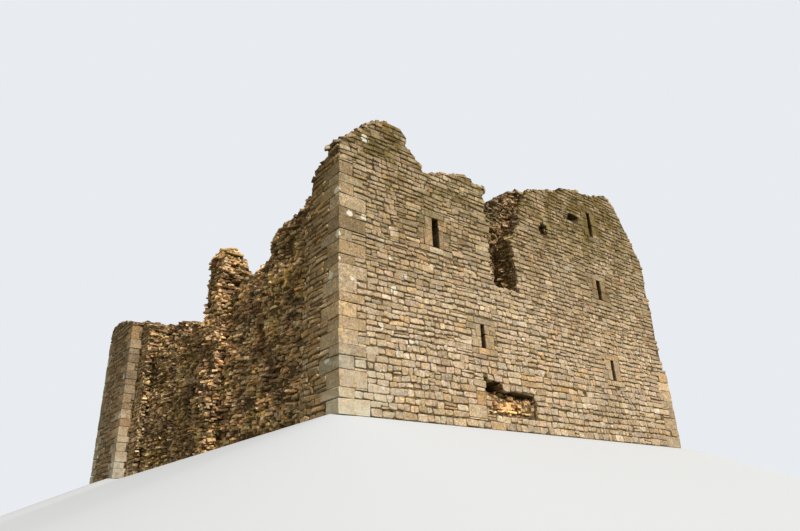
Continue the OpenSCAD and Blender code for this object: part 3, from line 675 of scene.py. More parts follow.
def run_lengths(rng, total, shortest, middling, longest, taper):
    """Cuts a run of a course into stones of random length, longer at its start by the taper and
    shorter by as much at its end"""
    lengths, left = [], total
    while left > longest:
        usual = middling * (1 - taper + 2 * taper * left / total)
        length = float(np.clip(rng.lognormal(math.log(usual), LENGTH_SPREAD), shortest, longest))
        if left - length < shortest:
            break
        lengths.append(length)
        left -= length
    parts = 2 if left > longest else 1
    return lengths + [left / parts] * parts


def spans(face, low, high):
    """The runs of a course that are still there: two ends, whether each is a broken one, and the
    two beds, which a dressed stone can move"""
    marks = []
    for i in range(int(face.width / STEP) + 1):
        part = free_part(face, i * STEP, low, high)
        if part is None:
            marks.append((COVERED, None))
            continue
        heights = (part[0] + (part[1] - part[0]) * share for share in TEST_HEIGHTS)
        bare = sum(sight(face, i * STEP, z) == BARE for z in heights) >= 2
        marks.append((BARE, part) if bare else (BROKEN, None))
    edges = [e for u0, u1, z0, z1 in face.covered if z0 < high and z1 > low for e in (u0, u1)]

    def snapped(u):
        near = [e for e in edges if abs(e - u) < 1.5 * STEP]
        return min(near, key=lambda e: abs(e - u)) if near else u

    found, start = [], 0
    for i in range(1, len(marks) + 1):
        if i < len(marks) and marks[i] == marks[start]:
            continue
        if marks[start][0] == BARE:
            u0 = snapped((start - 0.5) * STEP) if start else 0.0
            u1 = snapped((i - 0.5) * STEP) if i < len(marks) else face.width
            found.append((u0, u1, start > 0 and marks[start - 1][0] == BROKEN,
                          i < len(marks) and marks[i][0] == BROKEN, *marks[start][1]))
        start = i
    return found


def bed_level(face, u, z):
    """Height of a bed there: each bed wanders, but not at the foot, the crest and the corners"""
    settings = bpy.context.scene.keep_facing
    calm, corner, corner_calm = 0.8, 0.9, 1.2
    slack = min(1.0, (z - face.low) / calm, (face.high - z) / calm,
                (min(u, face.width - u) - corner) / corner_calm)
    place = face.point(u, z)
    drift = noise.noise(place * 0.35) + 0.45 * noise.noise(place * Vector((1.1, 1.1, 0.8)))
    drift += 0.5 * noise.noise(place * 2.4)
    return z + settings.wander * max(slack, 0) * drift


def lay_facing(stones, face, coarse, shade, rough):
    """Courses of squared stones over all that is left of a face"""
    settings = bpy.context.scene.keep_facing
    rng = stones.rng
    taper = FRONT_TAPER if face is FACES["front"] else 0.0
    z = face.low
    while z < face.high - LEAST:
        share = min(z / CAD_HIGH.z, 1)
        usual = settings.low_course + (settings.high_course - settings.low_course) * share
        height = min(usual * coarse * rng.uniform(*UNEVEN), face.high - z)
        top = z + height
        for u0, u1, ragged_left, ragged_right, low, high in spans(face, z, top):
            u0 -= rng.uniform(*RAGGED) if ragged_left else 0
            u1 += rng.uniform(*RAGGED) if ragged_right else 0
            if u1 - u0 < LEAST:
                continue
            place = u0
            middling = settings.middling * coarse * rng.uniform(*UNEVEN)
            for length in run_lengths(rng, u1 - u0, settings.shortest * coarse, middling,
                                      settings.longest * coarse, taper):
                end = place + length
                loose = (ragged_left and place == u0) or (ragged_right and end > u1 - 0.01)
                depth = LOOSE_DEPTH if loose else USUAL_DEPTH
                lay_stone(stones, face, (place, end), (low, high), shade, rough, depth)
                place = end
        z = top


def lay_stone(stones, face, ends, heights, shade, rough, deep):
    """One place in a course: mostly one stone, and now and then two thin ones"""
    rng = stones.rng
    (u0, u1), (z0, z1) = ends, heights
    middle_u = (u0 + u1) / 2
    probe = face.point(middle_u, (z0 + z1) / 2, PROBE)
    if inside_other(probe, dressed=False) or rng.random() < MISSING:
        return
    z0, z1 = bed_level(face, middle_u, z0), bed_level(face, middle_u, z1)
    beds = [z0, z1]
    if z1 - z0 > PAIR_HEIGHT and rng.random() < PAIRED:
        beds.insert(1, z0 + (z1 - z0) * rng.uniform(0.38, 0.62))
    slope = (bed_level(face, u1, z0) - bed_level(face, u0, z0)) / (u1 - u0)
    for low, high in zip(beds, beds[1:]):
        add_squared(stones, face, (u0, u1), (low, high), slope, shade, rough, deep)


def add_squared(stones, face, ends, beds, slope, shade, rough, deep):
    """One squared stone, a little out of true"""
    settings = bpy.context.scene.keep_facing
    rng = stones.rng
    (u0, u1), (low, high) = ends, beds
    proud = float(np.clip(rng.normal(settings.proud, PROUD_SPREAD), *PROUD_LIMITS))
    depth = (deep + proud) / 2
    turn = (Matrix.Rotation(rng.normal(0, TURN * rough), 3, "Z")
            @ Matrix.Rotation(rng.normal(0, LEAN * rough), 3, face.along))
    along = (turn @ (face.along + UP * (slope + rng.normal(0, TILT * rough)))).normalized()
    inward = (turn @ face.inward)
    inward = (inward - along * inward.dot(along)).normalized()
    bed_joint = settings.bed_joint * rng.uniform(*BED_JOINTS)
    bed_joint *= min(1, (high - low) / FULL_JOINT_HEIGHT)
    bed_joint *= 1 + CREST_JOINT * low / CAD_HIGH.z
    half = ((u1 - u0 - settings.head_joint * rng.uniform(*HEAD_JOINTS)) / 2, depth,
            (high - low - bed_joint) / 2)
    worn = settings.bevel * rng.uniform(*EDGES)
    worn = min(1.15 * worn, 0.45 * half[0]), worn, min(0.9 * worn, 0.4 * half[2])
    loose = (min(0.022 * rough, 0.3 * half[0]), 0.01 * rough, min(0.024 * rough, 0.32 * half[2]))
    centre = face.point((u0 + u1) / 2, (low + high) / 2 + rng.normal(0, 0.008), proud - depth)
    stones.add(centre, along, inward, half, worn, loose, shade)


# Dressed stones

# How far the corners of a dressed stone stray along the wall, into it and up: in a face, at a corner
# of the building and in the doorway
FACE_STRAY = (0.014, 0.005, 0.014)
CORNER_STRAY = (0.016, 0.016, 0.018)
DOOR_STRAY = (0.004, 0.003, 0.004)


def dressed_box(stones, face, ends, beds, deep, proud=None, shade=1.0):
    """One dressed stone in a face, which it covers there"""
    settings = bpy.context.scene.keep_dressed
    (u0, u1), (z0, z1) = ends, beds
    out = settings.proud if proud is None else proud
    out += stones.rng.uniform(-0.006, 0.0)
    half = ((abs(u1 - u0) - settings.joint) / 2, (deep + out) / 2, (z1 - z0 - settings.joint) / 2)
    worn = min(settings.bevel, 0.5 * half[0], 0.5 * half[2])
    centre = face.point((u0 + u1) / 2, (z0 + z1) / 2, out - half[1])
    stones.add(centre, face.along, face.inward, half, worn, FACE_STRAY, shade)
    face.cover(u0, u1, z0, z1)


def corner_rows(node, corner, signs):
    """Beds and reaches of a corner's stones, read from its solid: low, high, reach in x and y"""
    levels = sorted({round(v.co.z, 3) for v in NODES[node].data.vertices})
    tree = NODE_TREES[node][0]
    rows, inset = [], 0.2
    for low, high in zip(levels, levels[1:]):
        if high - low < LEAST:
            continue
        start = Vector((corner[0] + signs[0] * inset, corner[1] + signs[1] * inset, (low + high) / 2))
        reaches = [tree.ray_cast(start, way)[3] for way in (ALONG_X * signs[0], ALONG_Y * signs[1])]
        rows.append((low, high, *(reach + inset for reach in reaches)))
    return rows


def corner_stones(name, node, first, second, seed, shade):
    """The stones where two faces meet, the first of which runs along x and the second along y"""
    settings = bpy.context.scene.keep_dressed
    retreat, spare, gap = 0.012, 0.16, 0.004
    corner = Vector((second.start.x, first.start.y, 0))
    signs = (second.inward.x, first.inward.y)
    stones = Stones(name, "worn", "dressed", seed, contrast=0.16, shades_recesses=False)
    for z0, z1, reach_x, reach_y in corner_rows(node, corner, signs):
        out = settings.proud + stones.rng.uniform(-retreat, 0)
        low = Vector((corner[0] - signs[0] * out, corner[1] - signs[1] * out, z0))
        spare_x, spare_y = stones.rng.uniform(0, spare, 2)
        high = Vector((corner[0] + signs[0] * (reach_x + spare_x),
                       corner[1] + signs[1] * (reach_y + spare_y), z1))
        half = (abs(high.x - low.x) / 2 - gap, abs(high.y - low.y) / 2 - gap,
                (z1 - z0 - settings.joint) / 2)
        stones.add((low + high) / 2, ALONG_X, ALONG_Y, half, settings.bevel, CORNER_STRAY, shade)
        for face, end in ((first, (high.x, corner.y, 0)), (second, (corner.x, high.y, 0))):
            face.cover(face.place(corner), face.place(end), z0, z1)
    item = stones.build("corner_sandstone")
    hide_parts(node)


# Each corner's piece, its node and the two faces that meet there
CORNERS = {
    "near_corner_stones": ("near_corner_quoins", "front", "left"),
    "right_corner_stones": ("right_corner_quoins", "front", "right"),
    "back_right_corner_stones": ("back_right_quoins", "back", "right"),
    "turret_near_stones": ("turret_near_quoins", "turret_near", "turret_outer"),
    "turret_outer_stones": ("turret_outer_quoins", "turret_back", "turret_outer"),
    "turret_back_stones": ("turret_back_quoins", "turret_back", "turret_right"),
}


class KEEP_OT_corners(bpy.types.Operator):
    """Corner stones, uneven in height and reach"""
    bl_idname = "keep.corners"
    bl_label = "Corner stones"

    def execute(self, context):
        for seed, (name, (node, first, second)) in enumerate(CORNERS.items(), 11):
            shade = 0.76 if name.startswith("turret") else 0.92
            corner_stones(name, node, FACES[first], FACES[second], seed, shade)
        return {"FINISHED"}


# Jambs of each slit from the sill up: share of the height, then how wide the stone is
JAMBS = {
    "upper_left_slit_surround": (((0.55, 0.4), (0.45, 0.34)), ((0.62, 0.2), (0.2, 0.4), (0.18, 0.44))),
    "lower_left_slit_surround": (((0.45, 0.44), (0.55, 0.24)), ((0.6, 0.44), (0.4, 0.24))),
    "lower_right_slit_surround": (((0.5, 0.3), (0.5, 0.42)), ((1.0, 0.4),)),
    "middle_right_slit_surround": (((0.5, 0.42), (0.5, 0.28)), ((0.45, 0.26), (0.55, 0.4))),
    "top_right_slit_surround": (((0.35, 0.36), (0.35, 0.24), (0.3, 0.4)), ((0.5, 0.3), (0.5, 0.42))),
}
PLAIN_JAMBS = (((0.5, 0.42), (0.5, 0.28)), ((0.5, 0.28), (0.5, 0.42)))
# Slits whose stones have the colours of the facing round them
BLENDED_SLITS = ("upper_left_slit_surround", "middle_right_slit_surround", "top_right_slit_surround")
# Sizes that the slits share with the CAD: width of their dressed stones and height of a lintel
JAMB_W, LINTEL_H = 0.44, 0.24
# How deep the stones round a slit are, and how far its sill and its lintel run past its edges
SLIT_DEPTH, SILL_OVER, LINTEL_OVER = 0.42, 0.16, 0.3
# The rest of the seat round an opening: least gap that is filled, and height of a course there
SEAT_GAP, SEAT_COURSE = 0.04, 0.2


def fill_seat(stones, face, ends, heights):
    """Stones as high as a course, from the first end over the rest of the seat round an opening,
    and a little past its other end"""
    (u0, u1), (z0, z1) = ends, heights
    if abs(u1 - u0) < SEAT_GAP:
        return
    number = max(1, round((z1 - z0) / SEAT_COURSE))
    beds = [z0 + (z1 - z0) * i / number for i in range(number + 1)]
    for low, high in zip(beds, beds[1:]):
        end = u1 + math.copysign(stones.rng.uniform(0.0, 0.3), u1 - u0)
        proud, shade = stones.rng.uniform(0.012, 0.034), stones.rng.uniform(0.82, 1.12)
        dressed_box(stones, face, (u0, end), (low, high), SLIT_DEPTH, proud, shade)


def slit_stones(stones, face, low, high, jambs):
    """Sill, jambs and lintel round one slit, whose dressed stones fill the box from low to high"""
    ends = sorted((face.place(low), face.place(high)))
    left, right = ends[0] + JAMB_W, ends[1] - JAMB_W
    sill, head = low.z + LINTEL_H, high.z - LINTEL_H
    for side, edge, end in ((-1, left, ends[0]), (1, right, ends[1])):
        z = sill
        for share, width in jambs[side > 0]:
            beds = (z, z + share * (head - sill))
            dressed_box(stones, face, (edge, edge + side * width), beds, SLIT_DEPTH)
            fill_seat(stones, face, (edge + side * width, end), beds)
            z = beds[1]
    for beds, over in (((low.z, sill), SILL_OVER), ((head, high.z), LINTEL_OVER)):
        dressed_box(stones, face, (left - over, right + over), beds, SLIT_DEPTH)
        fill_seat(stones, face, (left - over, ends[0]), beds)
        fill_seat(stones, face, (right + over, ends[1]), beds)


def parts_of(node):
    """Boxes of the separate solids of a node, sorted by place"""
    bm = merged_solid(node)
    left, boxes = set(bm.verts), []
    while left:
        group, queue = set(), [left.pop()]
        while queue:
            vert = queue.pop()
            group.add(vert)
            near = {e.other_vert(vert) for e in vert.link_edges} & left
            left -= near
            queue += near
        places = np.array([v.co[:] for v in group])
        boxes.append((Vector(places.min(0)), Vector(places.max(0))))
    bm.free()
    return sorted(boxes, key=lambda b: (round(b[0].x, 2), round(b[0].y, 2), b[0].z))


class KEEP_OT_slits(bpy.types.Operator):
    """Dressed stones round the slit windows"""
    bl_idname = "keep.slits"
    bl_label = "Slit windows"

    def execute(self, context):
        groups = [(name, "front", JAMBS[name]) for name in FRONT_SLITS]
        groups += [("back_wall_slit_surrounds", "back", PLAIN_JAMBS),
                   ("right_wall_slit_surrounds", "right", PLAIN_JAMBS)]
        for seed, (node, face, jambs) in enumerate(groups, 21):
            palette = "facing" if node in BLENDED_SLITS else "dressed"
            stones = Stones(node.replace("surround", "stone"), "worn", palette, seed, shade=0.93)
            for low, high in parts_of(node):
                slit_stones(stones, FACES[face], low, high, jambs)
            item = stones.build("slit_sandstone")
            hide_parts(node)
        return {"FINISHED"}


# Stones that stand out round the robbed opening, from its left end at its foot: palette, then the
# two ends along the wall, the two beds, and how light each stone is
MARKED_STONES = {
    "tan_stones": ("dressed", ((-0.88, -0.02, -0.22, 0.22, 1.05),)),
    "golden_stones": ("golden", (
        (-0.45, -0.02, 0.22, 0.7, 0.95), (1.95, 2.27, 1.36, 1.54, 1.05), (2.27, 2.78, 1.36, 1.54, 1.15),
        (3.2, 3.65, 1.34, 1.53, 1.0), (3.75, 4.3, 1.14, 1.34, 1.1), (4.3, 4.68, 1.14, 1.34, 0.95))),
}
MARKED_PROUD = 0.032


class KEEP_OT_marked_stones(bpy.types.Operator):
    """Stones that stand out round the robbed opening"""
    bl_idname = "keep.marked_stones"
    bl_label = "Marked stones"

    def execute(self, context):
        face = FACES["front"]
        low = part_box("robbed_opening_core")[0]
        start = face.place(low)
        for seed, (name, (palette, boxes)) in enumerate(MARKED_STONES.items(), 35):
            stones = Stones(name, "worn", palette, seed, contrast=0.05)
            for u0, u1, z0, z1, shade in boxes:
                dressed_box(stones, face, (start + u0, start + u1), (low.z + z0, low.z + z1),
                            USUAL_DEPTH, MARKED_PROUD, shade)
            stones.build("slit_sandstone")
        return {"FINISHED"}


# The doorway's stones: rows through the wall, stones of the arch, stones of a jamb, width of the
# ring they form, half of their joints, and how far the last row stands out in the court
DOOR_ROWS, DOOR_ARCH, DOOR_JAMB = 5, 9, 5
DOOR_RING, DOOR_GAP, DOOR_BACK = 0.38, 0.006, 0.02


class KEEP_OT_doorway(bpy.types.Operator):
    """Arch stones and jambs of the doorway, through the whole wall"""
    bl_idname = "keep.doorway"
    bl_label = "Doorway"

    def execute(self, context):
        node = "right_wall_door_arch"
        low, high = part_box(node)
        middle, radius = (low.y + high.y) / 2, (high.y - low.y) / 2
        spring = high.z - radius
        settings = context.scene.keep_dressed
        stones = Stones("doorway_stones", "worn", "dressed", 31)
        deep = (high.x - low.x) / DOOR_ROWS
        aside = radius - DOOR_RING / 2 - DOOR_GAP
        width = math.pi * (radius - DOOR_RING * 0.4) / DOOR_ARCH - settings.joint
        height = spring / DOOR_JAMB
        for row in range(DOOR_ROWS):
            proud = settings.proud if row == 0 else 0.0
            reach = proud + (DOOR_BACK if row == DOOR_ROWS - 1 else 0.0)
            x = high.x - (row + 0.5) * deep + proud / 2
            places = []
            for k in range(DOOR_ARCH):
                turn = math.pi * (k + 0.5) / DOOR_ARCH
                out = Vector((0, math.cos(turn), math.sin(turn)))
                centre = Vector((x, middle, spring)) + out * aside
                places.append((centre, out.cross(-ALONG_X), width / 2, DOOR_RING / 2))
            for side in (-1, 1):
                for k in range(DOOR_JAMB):
                    centre = Vector((x, middle + side * aside, (k + 0.5) * height))
                    places.append((centre, ALONG_Y, DOOR_RING / 2, height / 2 - settings.joint / 2))
            for centre, along, half_width, half_height in places:
                half = (half_width, (deep + reach) / 2 - DOOR_GAP, half_height)
                stones.add(centre, along, -ALONG_X, half, settings.bevel, DOOR_STRAY)
        item = stones.build("slit_sandstone")
        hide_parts(node)
        return {"FINISHED"}


def face_piece(name, faces, look, seed, coarse=1.0, shade=1.0, palette="facing", rough=1.0,
               template="facing"):
    """One piece of facing that covers several faces"""
    stones = Stones(name, template, palette, seed)
    for face in faces:
        lay_facing(stones, face, coarse, shade, rough)
    stones.build(look)


class KEEP_OT_outer_facing(bpy.types.Operator):
    """Squared stones of the outer faces"""
    bl_idname = "keep.outer_facing"
    bl_label = "Outer facing"

    def execute(self, context):
        face_piece("front_facing", [FACES["front"]], "front_sandstone", 41, shade=1.03, template="worn")
        face_piece("left_facing", [FACES["left"]], "left_sandstone", 42, coarse=0.96, shade=1.03,
                   palette="shaded", rough=1.7, template="worn")
        face_piece("back_facing", [FACES["back"]], "back_sandstone", 43, coarse=1.2)
        face_piece("right_facing", [FACES["right"]], "back_sandstone", 44, coarse=1.2)
        face_piece("turret_facing", TURRET_FACES.values(), "left_sandstone", 45, coarse=1.15, shade=0.6,
                   palette="shaded", rough=1.3, template="worn")
        return {"FINISHED"}


class KEEP_OT_court_facing(bpy.types.Operator):
    """Squared stones of the faces towards the court"""
    bl_idname = "keep.court_facing"
    bl_label = "Court facing"

    def execute(self, context):
        for seed, (name, faces) in enumerate(COURT_FACES.items(), 51):
            face_piece("court_" + name + "_facing", faces, "court_sandstone", seed, coarse=1.3,
                       shade=0.92)
        return {"FINISHED"}


# Rubble

# Angle between triangles that are still one flat face
FLAT = math.radians(0.6)
# Cosine of the most that a faced plane may be turned, and how far off its plane it may lie
PARALLEL, OFF_PLANE = 0.99, 0.02
# How much wider than its stones an opening is kept free, and how far below the crest rubble ends
OPENING_SLACK, BELOW_CREST = 0.02, 0.1
# Lengths of rough stones, as a lognormal's spread and as limits, and the chance that one is missing
ROUGH_SPREAD, ROUGH_LENGTHS, ROUGH_MISSING = 0.42, (0.08, 0.65), 0.08
# How far they stand out, as a spread and as limits, all as shares of the most
BULGE_SPREAD, BULGE_LIMITS = 0.24, (-0.1, 1.0)
# How far their corners stray and how worn their edges are, as shares of the half sizes
ROUGH_STRAY, ROUGH_EDGE = (0.26, 0.2, 0.34), 0.1
# The same for the stones on the tops
TOP_SPREAD, TOP_LENGTHS = 0.36, (0.12, 0.5)
TOP_STRAY, TOP_EDGE = (0.24, 0.26, 0.24), 0.12
# Their distance and how far they stray from it, as shares of their length, and how high and how
# level a top has to be
TOP_SPACING, TOP_SHIFT, TOP_LOWEST, TOP_LEVEL = 0.84, 0.35, 0.4, 0.5


def solid_faces(name):
    """The flat faces of a node, merged from its triangles"""
    bm = merged_solid(name)
    bmesh.ops.dissolve_limit(bm, angle_limit=FLAT, verts=bm.verts, edges=bm.edges)
    bm.normal_update()
    found = [([v.co.copy() for v in f.verts], f.normal.copy()) for f in bm.faces]
    bm.free()
    return found


def is_faced(points, normal, node):
    """True where squared facing covers a flat face"""
    for face in ALL_FACES:
        if node not in face.nodes or normal.dot(face.inward) > -PARALLEL:
            continue
        if all(abs((p - face.start).dot(face.inward)) < OFF_PLANE for p in points):
            return True
    return False


def opening_boxes():
    """Boxes round the slits and the doorway, right through their walls, where no rubble lies"""
    boxes = []
    for node in DRESSED_NODES:
        if node in QUOIN_NODES:
            continue
        for low, high in parts_of(node):
            spread = Vector((OPENING_SLACK, OPENING_SLACK, 0.0))
            spread[0 if high.x - low.x < high.y - low.y else 1] = WALL_T
            boxes.append((low - spread, high + spread))
    return boxes


OPENINGS = opening_boxes()


def in_opening(point):
    """True where a point lies in a slit or in the doorway"""
    return any(all(low[i] < point[i] < high[i] for i in range(3)) for low, high in OPENINGS)


def level_spans(points, tangent, z):
    """Where a flat face is cut by a level plane: pairs of points along its tangent"""
    cuts = []
    for a, b in zip(points, points[1:] + points[:1]):
        if (a.z - z) * (b.z - z) < 0:
            cuts.append(a.lerp(b, (z - a.z) / (b.z - a.z)))
    cuts.sort(key=lambda p: p.dot(tangent))
    return zip(cuts[::2], cuts[1::2])


def row_heights(rng, least, most, top):
    """Beds of the rubble rows from the foot to the top"""
    beds = [0.0]
    while beds[-1] < top:
        beds.append(beds[-1] + rng.uniform(least, most))
    return beds


def lay_rubble(stones, names, swell=1.0, fine=1.0, steepest=0.86, shade=1.0, inset=-0.02, long=1.0):
    """Rough stones in rows over every broken face of some nodes: how far they stand out, how high
    and how long they are as shares of the usual, the most level face that they cover, and how far
    the ends of a row are inset"""
    settings = bpy.context.scene.keep_rubble
    beds = row_heights(stones.rng, settings.least_row * fine, settings.most_row * fine, CAD_HIGH.z)
    for name in names:
        for points, normal in solid_faces(name):
            if abs(normal.z) > steepest or is_faced(points, normal, name):
                continue
            outward = Vector((normal.x, normal.y, 0)).normalized()
            heights = [p.z for p in points]
            for low, high in zip(beds, beds[1:]):
                z = (low + high) / 2
                if not min(heights) < z < max(heights):
                    continue
                for ends in level_spans(points, -outward.cross(UP), z):
                    lay_rubble_run(stones, name, ends, outward, high - low, swell, fine * long, shade,
                                   inset)


def lay_rubble_run(stones, name, ends, outward, height, swell, fine, shade, inset):
    """Rough stones side by side along one row on one broken face"""
    start, end = ends
    usual = math.log(bpy.context.scene.keep_rubble.length * fine)
    rng = stones.rng
    run = (end - start).length
    if run < LEAST:
        return
    tangent = (end - start).normalized()
    place = -rng.uniform(0, 0.1)
    while place < run:
        length = float(np.clip(rng.lognormal(usual, ROUGH_SPREAD), *ROUGH_LENGTHS))
        first, last = max(place, inset), min(place + length, run - inset)
        middle = start + tangent * (first + last) / 2
        place += length * rng.uniform(0.88, 1.12)
        if last - first < LEAST:
            continue
        probe = middle + outward * PROBE
        if middle.z > CAD_HIGH.z - BELOW_CREST or in_opening(probe) or inside_other(probe, name):
            continue
        if rng.random() >= ROUGH_MISSING:
            sizes = (last - first, height)
            add_rough(stones, middle, tangent, outward, sizes, min(1, run), swell, shade)


def add_rough(stones, middle, tangent, outward, sizes, narrow, swell, shade):
    """One rough stone, less deep and less turned where its face is narrow"""
    settings = bpy.context.scene.keep_rubble
    rng = stones.rng
    length, height = sizes
    bulge = 0.34 + 0.8 * noise.noise(middle * 0.7) + 0.6 * noise.noise(middle * 2.3)
    out = float(np.clip(bulge + rng.normal(0, BULGE_SPREAD), *BULGE_LIMITS)) * settings.proud * swell
    depth = settings.depth * rng.uniform(0.8, 1.15) * (0.4 + 0.6 * narrow)
    turned = Matrix.Rotation(rng.normal(0, 0.3 * narrow), 3, "Z") @ tangent
    turned = (turned + UP * rng.normal(0, 0.07)).normalized()
    inward = UP.cross(turned).normalized()
    if inward.dot(outward) > 0:
        inward, turned = -inward, -turned
    half = (length * rng.uniform(0.42, 0.54), depth * 0.5, height * rng.uniform(0.36, 0.54))
    centre = middle + outward * (out - half[1]) + UP * rng.normal(0, 0.018)
    centre.z = max(centre.z, half[2] + 0.01)
    loose = tuple(share * size for share, size in zip(ROUGH_STRAY, half))
    # Painted light and shade: the further a stone stands out, the lighter it is painted; a broad noise
    # makes patches of lighter and darker stone, and a cap limits how light it gets
    light = 0.72 + 0.42 * max(min(out / settings.proud, 1), 0) + 0.5 * noise.noise(middle * 0.6)
    light = min(light, 1.15)
    stones.add(centre, turned, inward, half, ROUGH_EDGE * min(half[0], half[2]), loose, shade * light)


def on_ledge(point, normal):
    """True on one of the two level ledges of the court"""
    return normal.z > PARALLEL and any(abs(point.z - ledge) < OFF_PLANE for ledge in LEDGES)


def lay_tops(stones, names):
    """Loose flat stones over the broken tops of some nodes, seen from above"""
    settings = bpy.context.scene.keep_rubble
    rng = stones.rng
    step = settings.top_stone * TOP_SPACING
    x0, y0 = (min(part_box(n)[0][i] for n in names) for i in range(2))
    x1, y1 = (max(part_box(n)[1][i] for n in names) for i in range(2))
    for i in range(int((x1 - x0) / step) + 2):
        for j in range(int((y1 - y0) / step) + 2):
            x = x0 + (i + rng.uniform(-TOP_SHIFT, TOP_SHIFT)) * step
            y = y0 + (j + rng.uniform(-TOP_SHIFT, TOP_SHIFT)) * step
            hit, normal, index, _ = TREE.ray_cast(Vector((x, y, CAD_HIGH.z + 1)), -UP)
            if hit is None or OWNERS[index] not in names or normal.z < TOP_LEVEL or hit.z < TOP_LOWEST:
                continue
            if not on_ledge(hit, normal):
                add_top_stone(stones, hit, normal)


def add_top_stone(stones, place, normal):
    """One flat stone on a broken top, some of them lying across"""
    rng = stones.rng
    usual = math.log(bpy.context.scene.keep_rubble.top_stone)
    length = float(np.clip(rng.lognormal(usual, TOP_SPREAD), *TOP_LENGTHS))
    half = (length / 2, length * rng.uniform(0.3, 0.48), rng.uniform(0.03, 0.065))
    turn = rng.uniform(-0.5, 0.5) + (math.pi / 2 if rng.random() < 0.4 else 0)
    turned = Matrix.Rotation(turn, 3, "Z") @ ALONG_X
    slope = (normal + UP * 0.9 + Vector(rng.normal(0, 0.1, 3))).normalized()
    turned = (turned - slope * turned.dot(slope)).normalized()
    centre = place + UP * rng.uniform(-0.03, 0.04)
    centre.z = min(centre.z, CAD_HIGH.z - 0.03 - half[2])
    loose = tuple(share * size for share, size in zip(TOP_STRAY, half))
    stones.add(centre, turned, slope.cross(turned), half, TOP_EDGE * half[2], loose)


def named(*prefixes):
    """The nodes whose names start so, apart from those of dressed stones"""
    return [n for n in NODES if n.startswith(prefixes) and n not in DRESSED_NODES]


class KEEP_OT_left_rubble(bpy.types.Operator):
    """The bared core of the left wall"""
    bl_idname = "keep.left_rubble"
    bl_label = "Left wall core"

    def execute(self, context):
        parts = (
            ("near_core_rubble", ["left_wall_near_core", "left_wall_saddle"], 1.6),
            ("pinnacle_rubble", ["left_wall_pinnacle"], 1.82),
            ("low_core_rubble", ["left_wall_low_core", "left_wall_far_face"], 1.4),
        )
        for seed, (name, nodes, shade) in enumerate(parts, 61):
            stones = Stones(name, "rubble", "rubble", seed, contrast=0.32)
            lay_rubble(stones, nodes, shade=shade)
            lay_tops(stones, nodes)
            stones.build("core_rubble")
        return {"FINISHED"}


class KEEP_OT_breach_rubble(bpy.types.Operator):
    """Core laid bare in the breach, the robbed opening and the broken ends of the front wall"""
    bl_idname = "keep.breach_rubble"
    bl_label = "Breach and robbed openings"

    def execute(self, context):
        stones = Stones("breach_rubble", "rubble", "rubble", 71, contrast=0.2)
        lay_rubble(stones, ["breach_core"], swell=0.55, fine=1.05, shade=1.45, long=0.62)
        lay_rubble(stones, named("front_wall"), swell=0.3, inset=0.05)
        stones.build("core_rubble")
        # Painted much lighter than the other rubble: partly paler stone, partly painted light that
        # lifts the shadow in the hollow
        stones = Stones("robbed_opening_rubble", "rubble", "warm_rubble", 72, contrast=0.2)
        lay_rubble(stones, ["robbed_opening_core"], swell=0.9, steepest=0.97, shade=2.2, inset=-0.05,
                   long=0.6)
        stones.build("core_rubble")
        return {"FINISHED"}


class KEEP_OT_crests(bpy.types.Operator):
    """Loose stones on the broken tops, and broken ends of the other walls"""
    bl_idname = "keep.crests"
    bl_label = "Broken tops"

    def execute(self, context):
        parts = {
            "front_crest": named("front_wall", "breach_core"),
            "back_crest": named("back_wall"),
            "right_crest": named("right_wall"),
            "turret_crest": ["corner_turret"],
        }
        for seed, (name, nodes) in enumerate(parts.items(), 81):
            stones = Stones(name, "rubble", "tops", seed, shade=1.12)
            lay_tops(stones, nodes)
            if name != "front_crest":
                lay_rubble(stones, nodes, swell=0.4)
            stones.build("crest_rubble")
        return {"FINISHED"}


class KEEP_OT_bedding(bpy.types.Operator):
    """Mortar and bare core of the CAD solids"""
    bl_idname = "keep.bedding"
    bl_label = "Mortar and core"

    def execute(self, context):
        colours = context.scene.keep_colours
        mortar = bedding_material("decayed_mortar", tuple(colours.mortar), tuple(colours.core))
        # The bare core takes the near-black core colour, partly painted shade between the rough stones
        core = bedding_material("bare_core", tuple(colours.core), tuple(colours.dark_rubble))
        for name, item in NODES.items():
            bare = name.startswith("left_wall") or name.endswith("_core")
            item.data.materials.clear()
            item.data.materials.append(core if bare else mortar)
        return {"FINISHED"}


# Stage

CAMERA_PLACE = (-18.872, -26.712, -3.310)
CAMERA_HEADING, CAMERA_PITCH, CAMERA_ROLL = 39.49, 23.512, -2.39
CAMERA_LENS = 28.35
# The sun: where it stands, its strength, its width and its colour
SUN_FROM = Vector((-0.04, -0.68, 0.73))
SUN_STRENGTH, SUN_WIDTH, SUN_COLOUR = 3.9, math.radians(5), (1.0, 0.975, 0.94)
# What the sky throws on the keep, and how it looks itself
FILL_COLOUR, FILL_STRENGTH = (1.0, 0.95, 0.84, 1), 0.5
SKY_COLOUR = (*linear(232, 236, 240), 1)
# The ground: how far from the walls it is level, its slope beyond, how long that runs straight on,
# and over what distance and by what depth it then eases off
LEVEL_GROUND, MOUND_SLOPE, STEEP_GROUND = 0.25, math.radians(22), 10.0
EASE_RUN, EASE_DEPTH = 14, 7
# Its grid: cells each way, and half its width as a part that is even and one that grows outwards
GRID_CELLS, GRID_EVEN, GRID_GROWING = 150, 30, 130


def beyond(x, y, low, high):
    """Distance of a place from a rectangle, 0 inside it"""
    return math.hypot(max(low[0] - x, x - high[0], 0), max(low[1] - y, y - high[1], 0))


def ground_height(x, y):
    """Level under the keep, and falling away from its walls and its turret on every side"""
    gap = min(beyond(x, y, (LEFT_X, FRONT_Y), (RIGHT_X, BACK_Y)), beyond(x, y, TURRET_LOW, TURRET_HIGH))
    run = max(gap - LEVEL_GROUND, 0)
    eased = EASE_DEPTH * math.tanh(max(run - STEEP_GROUND, 0) / EASE_RUN)
    return -math.tan(MOUND_SLOPE) * (min(run, STEEP_GROUND) + eased)


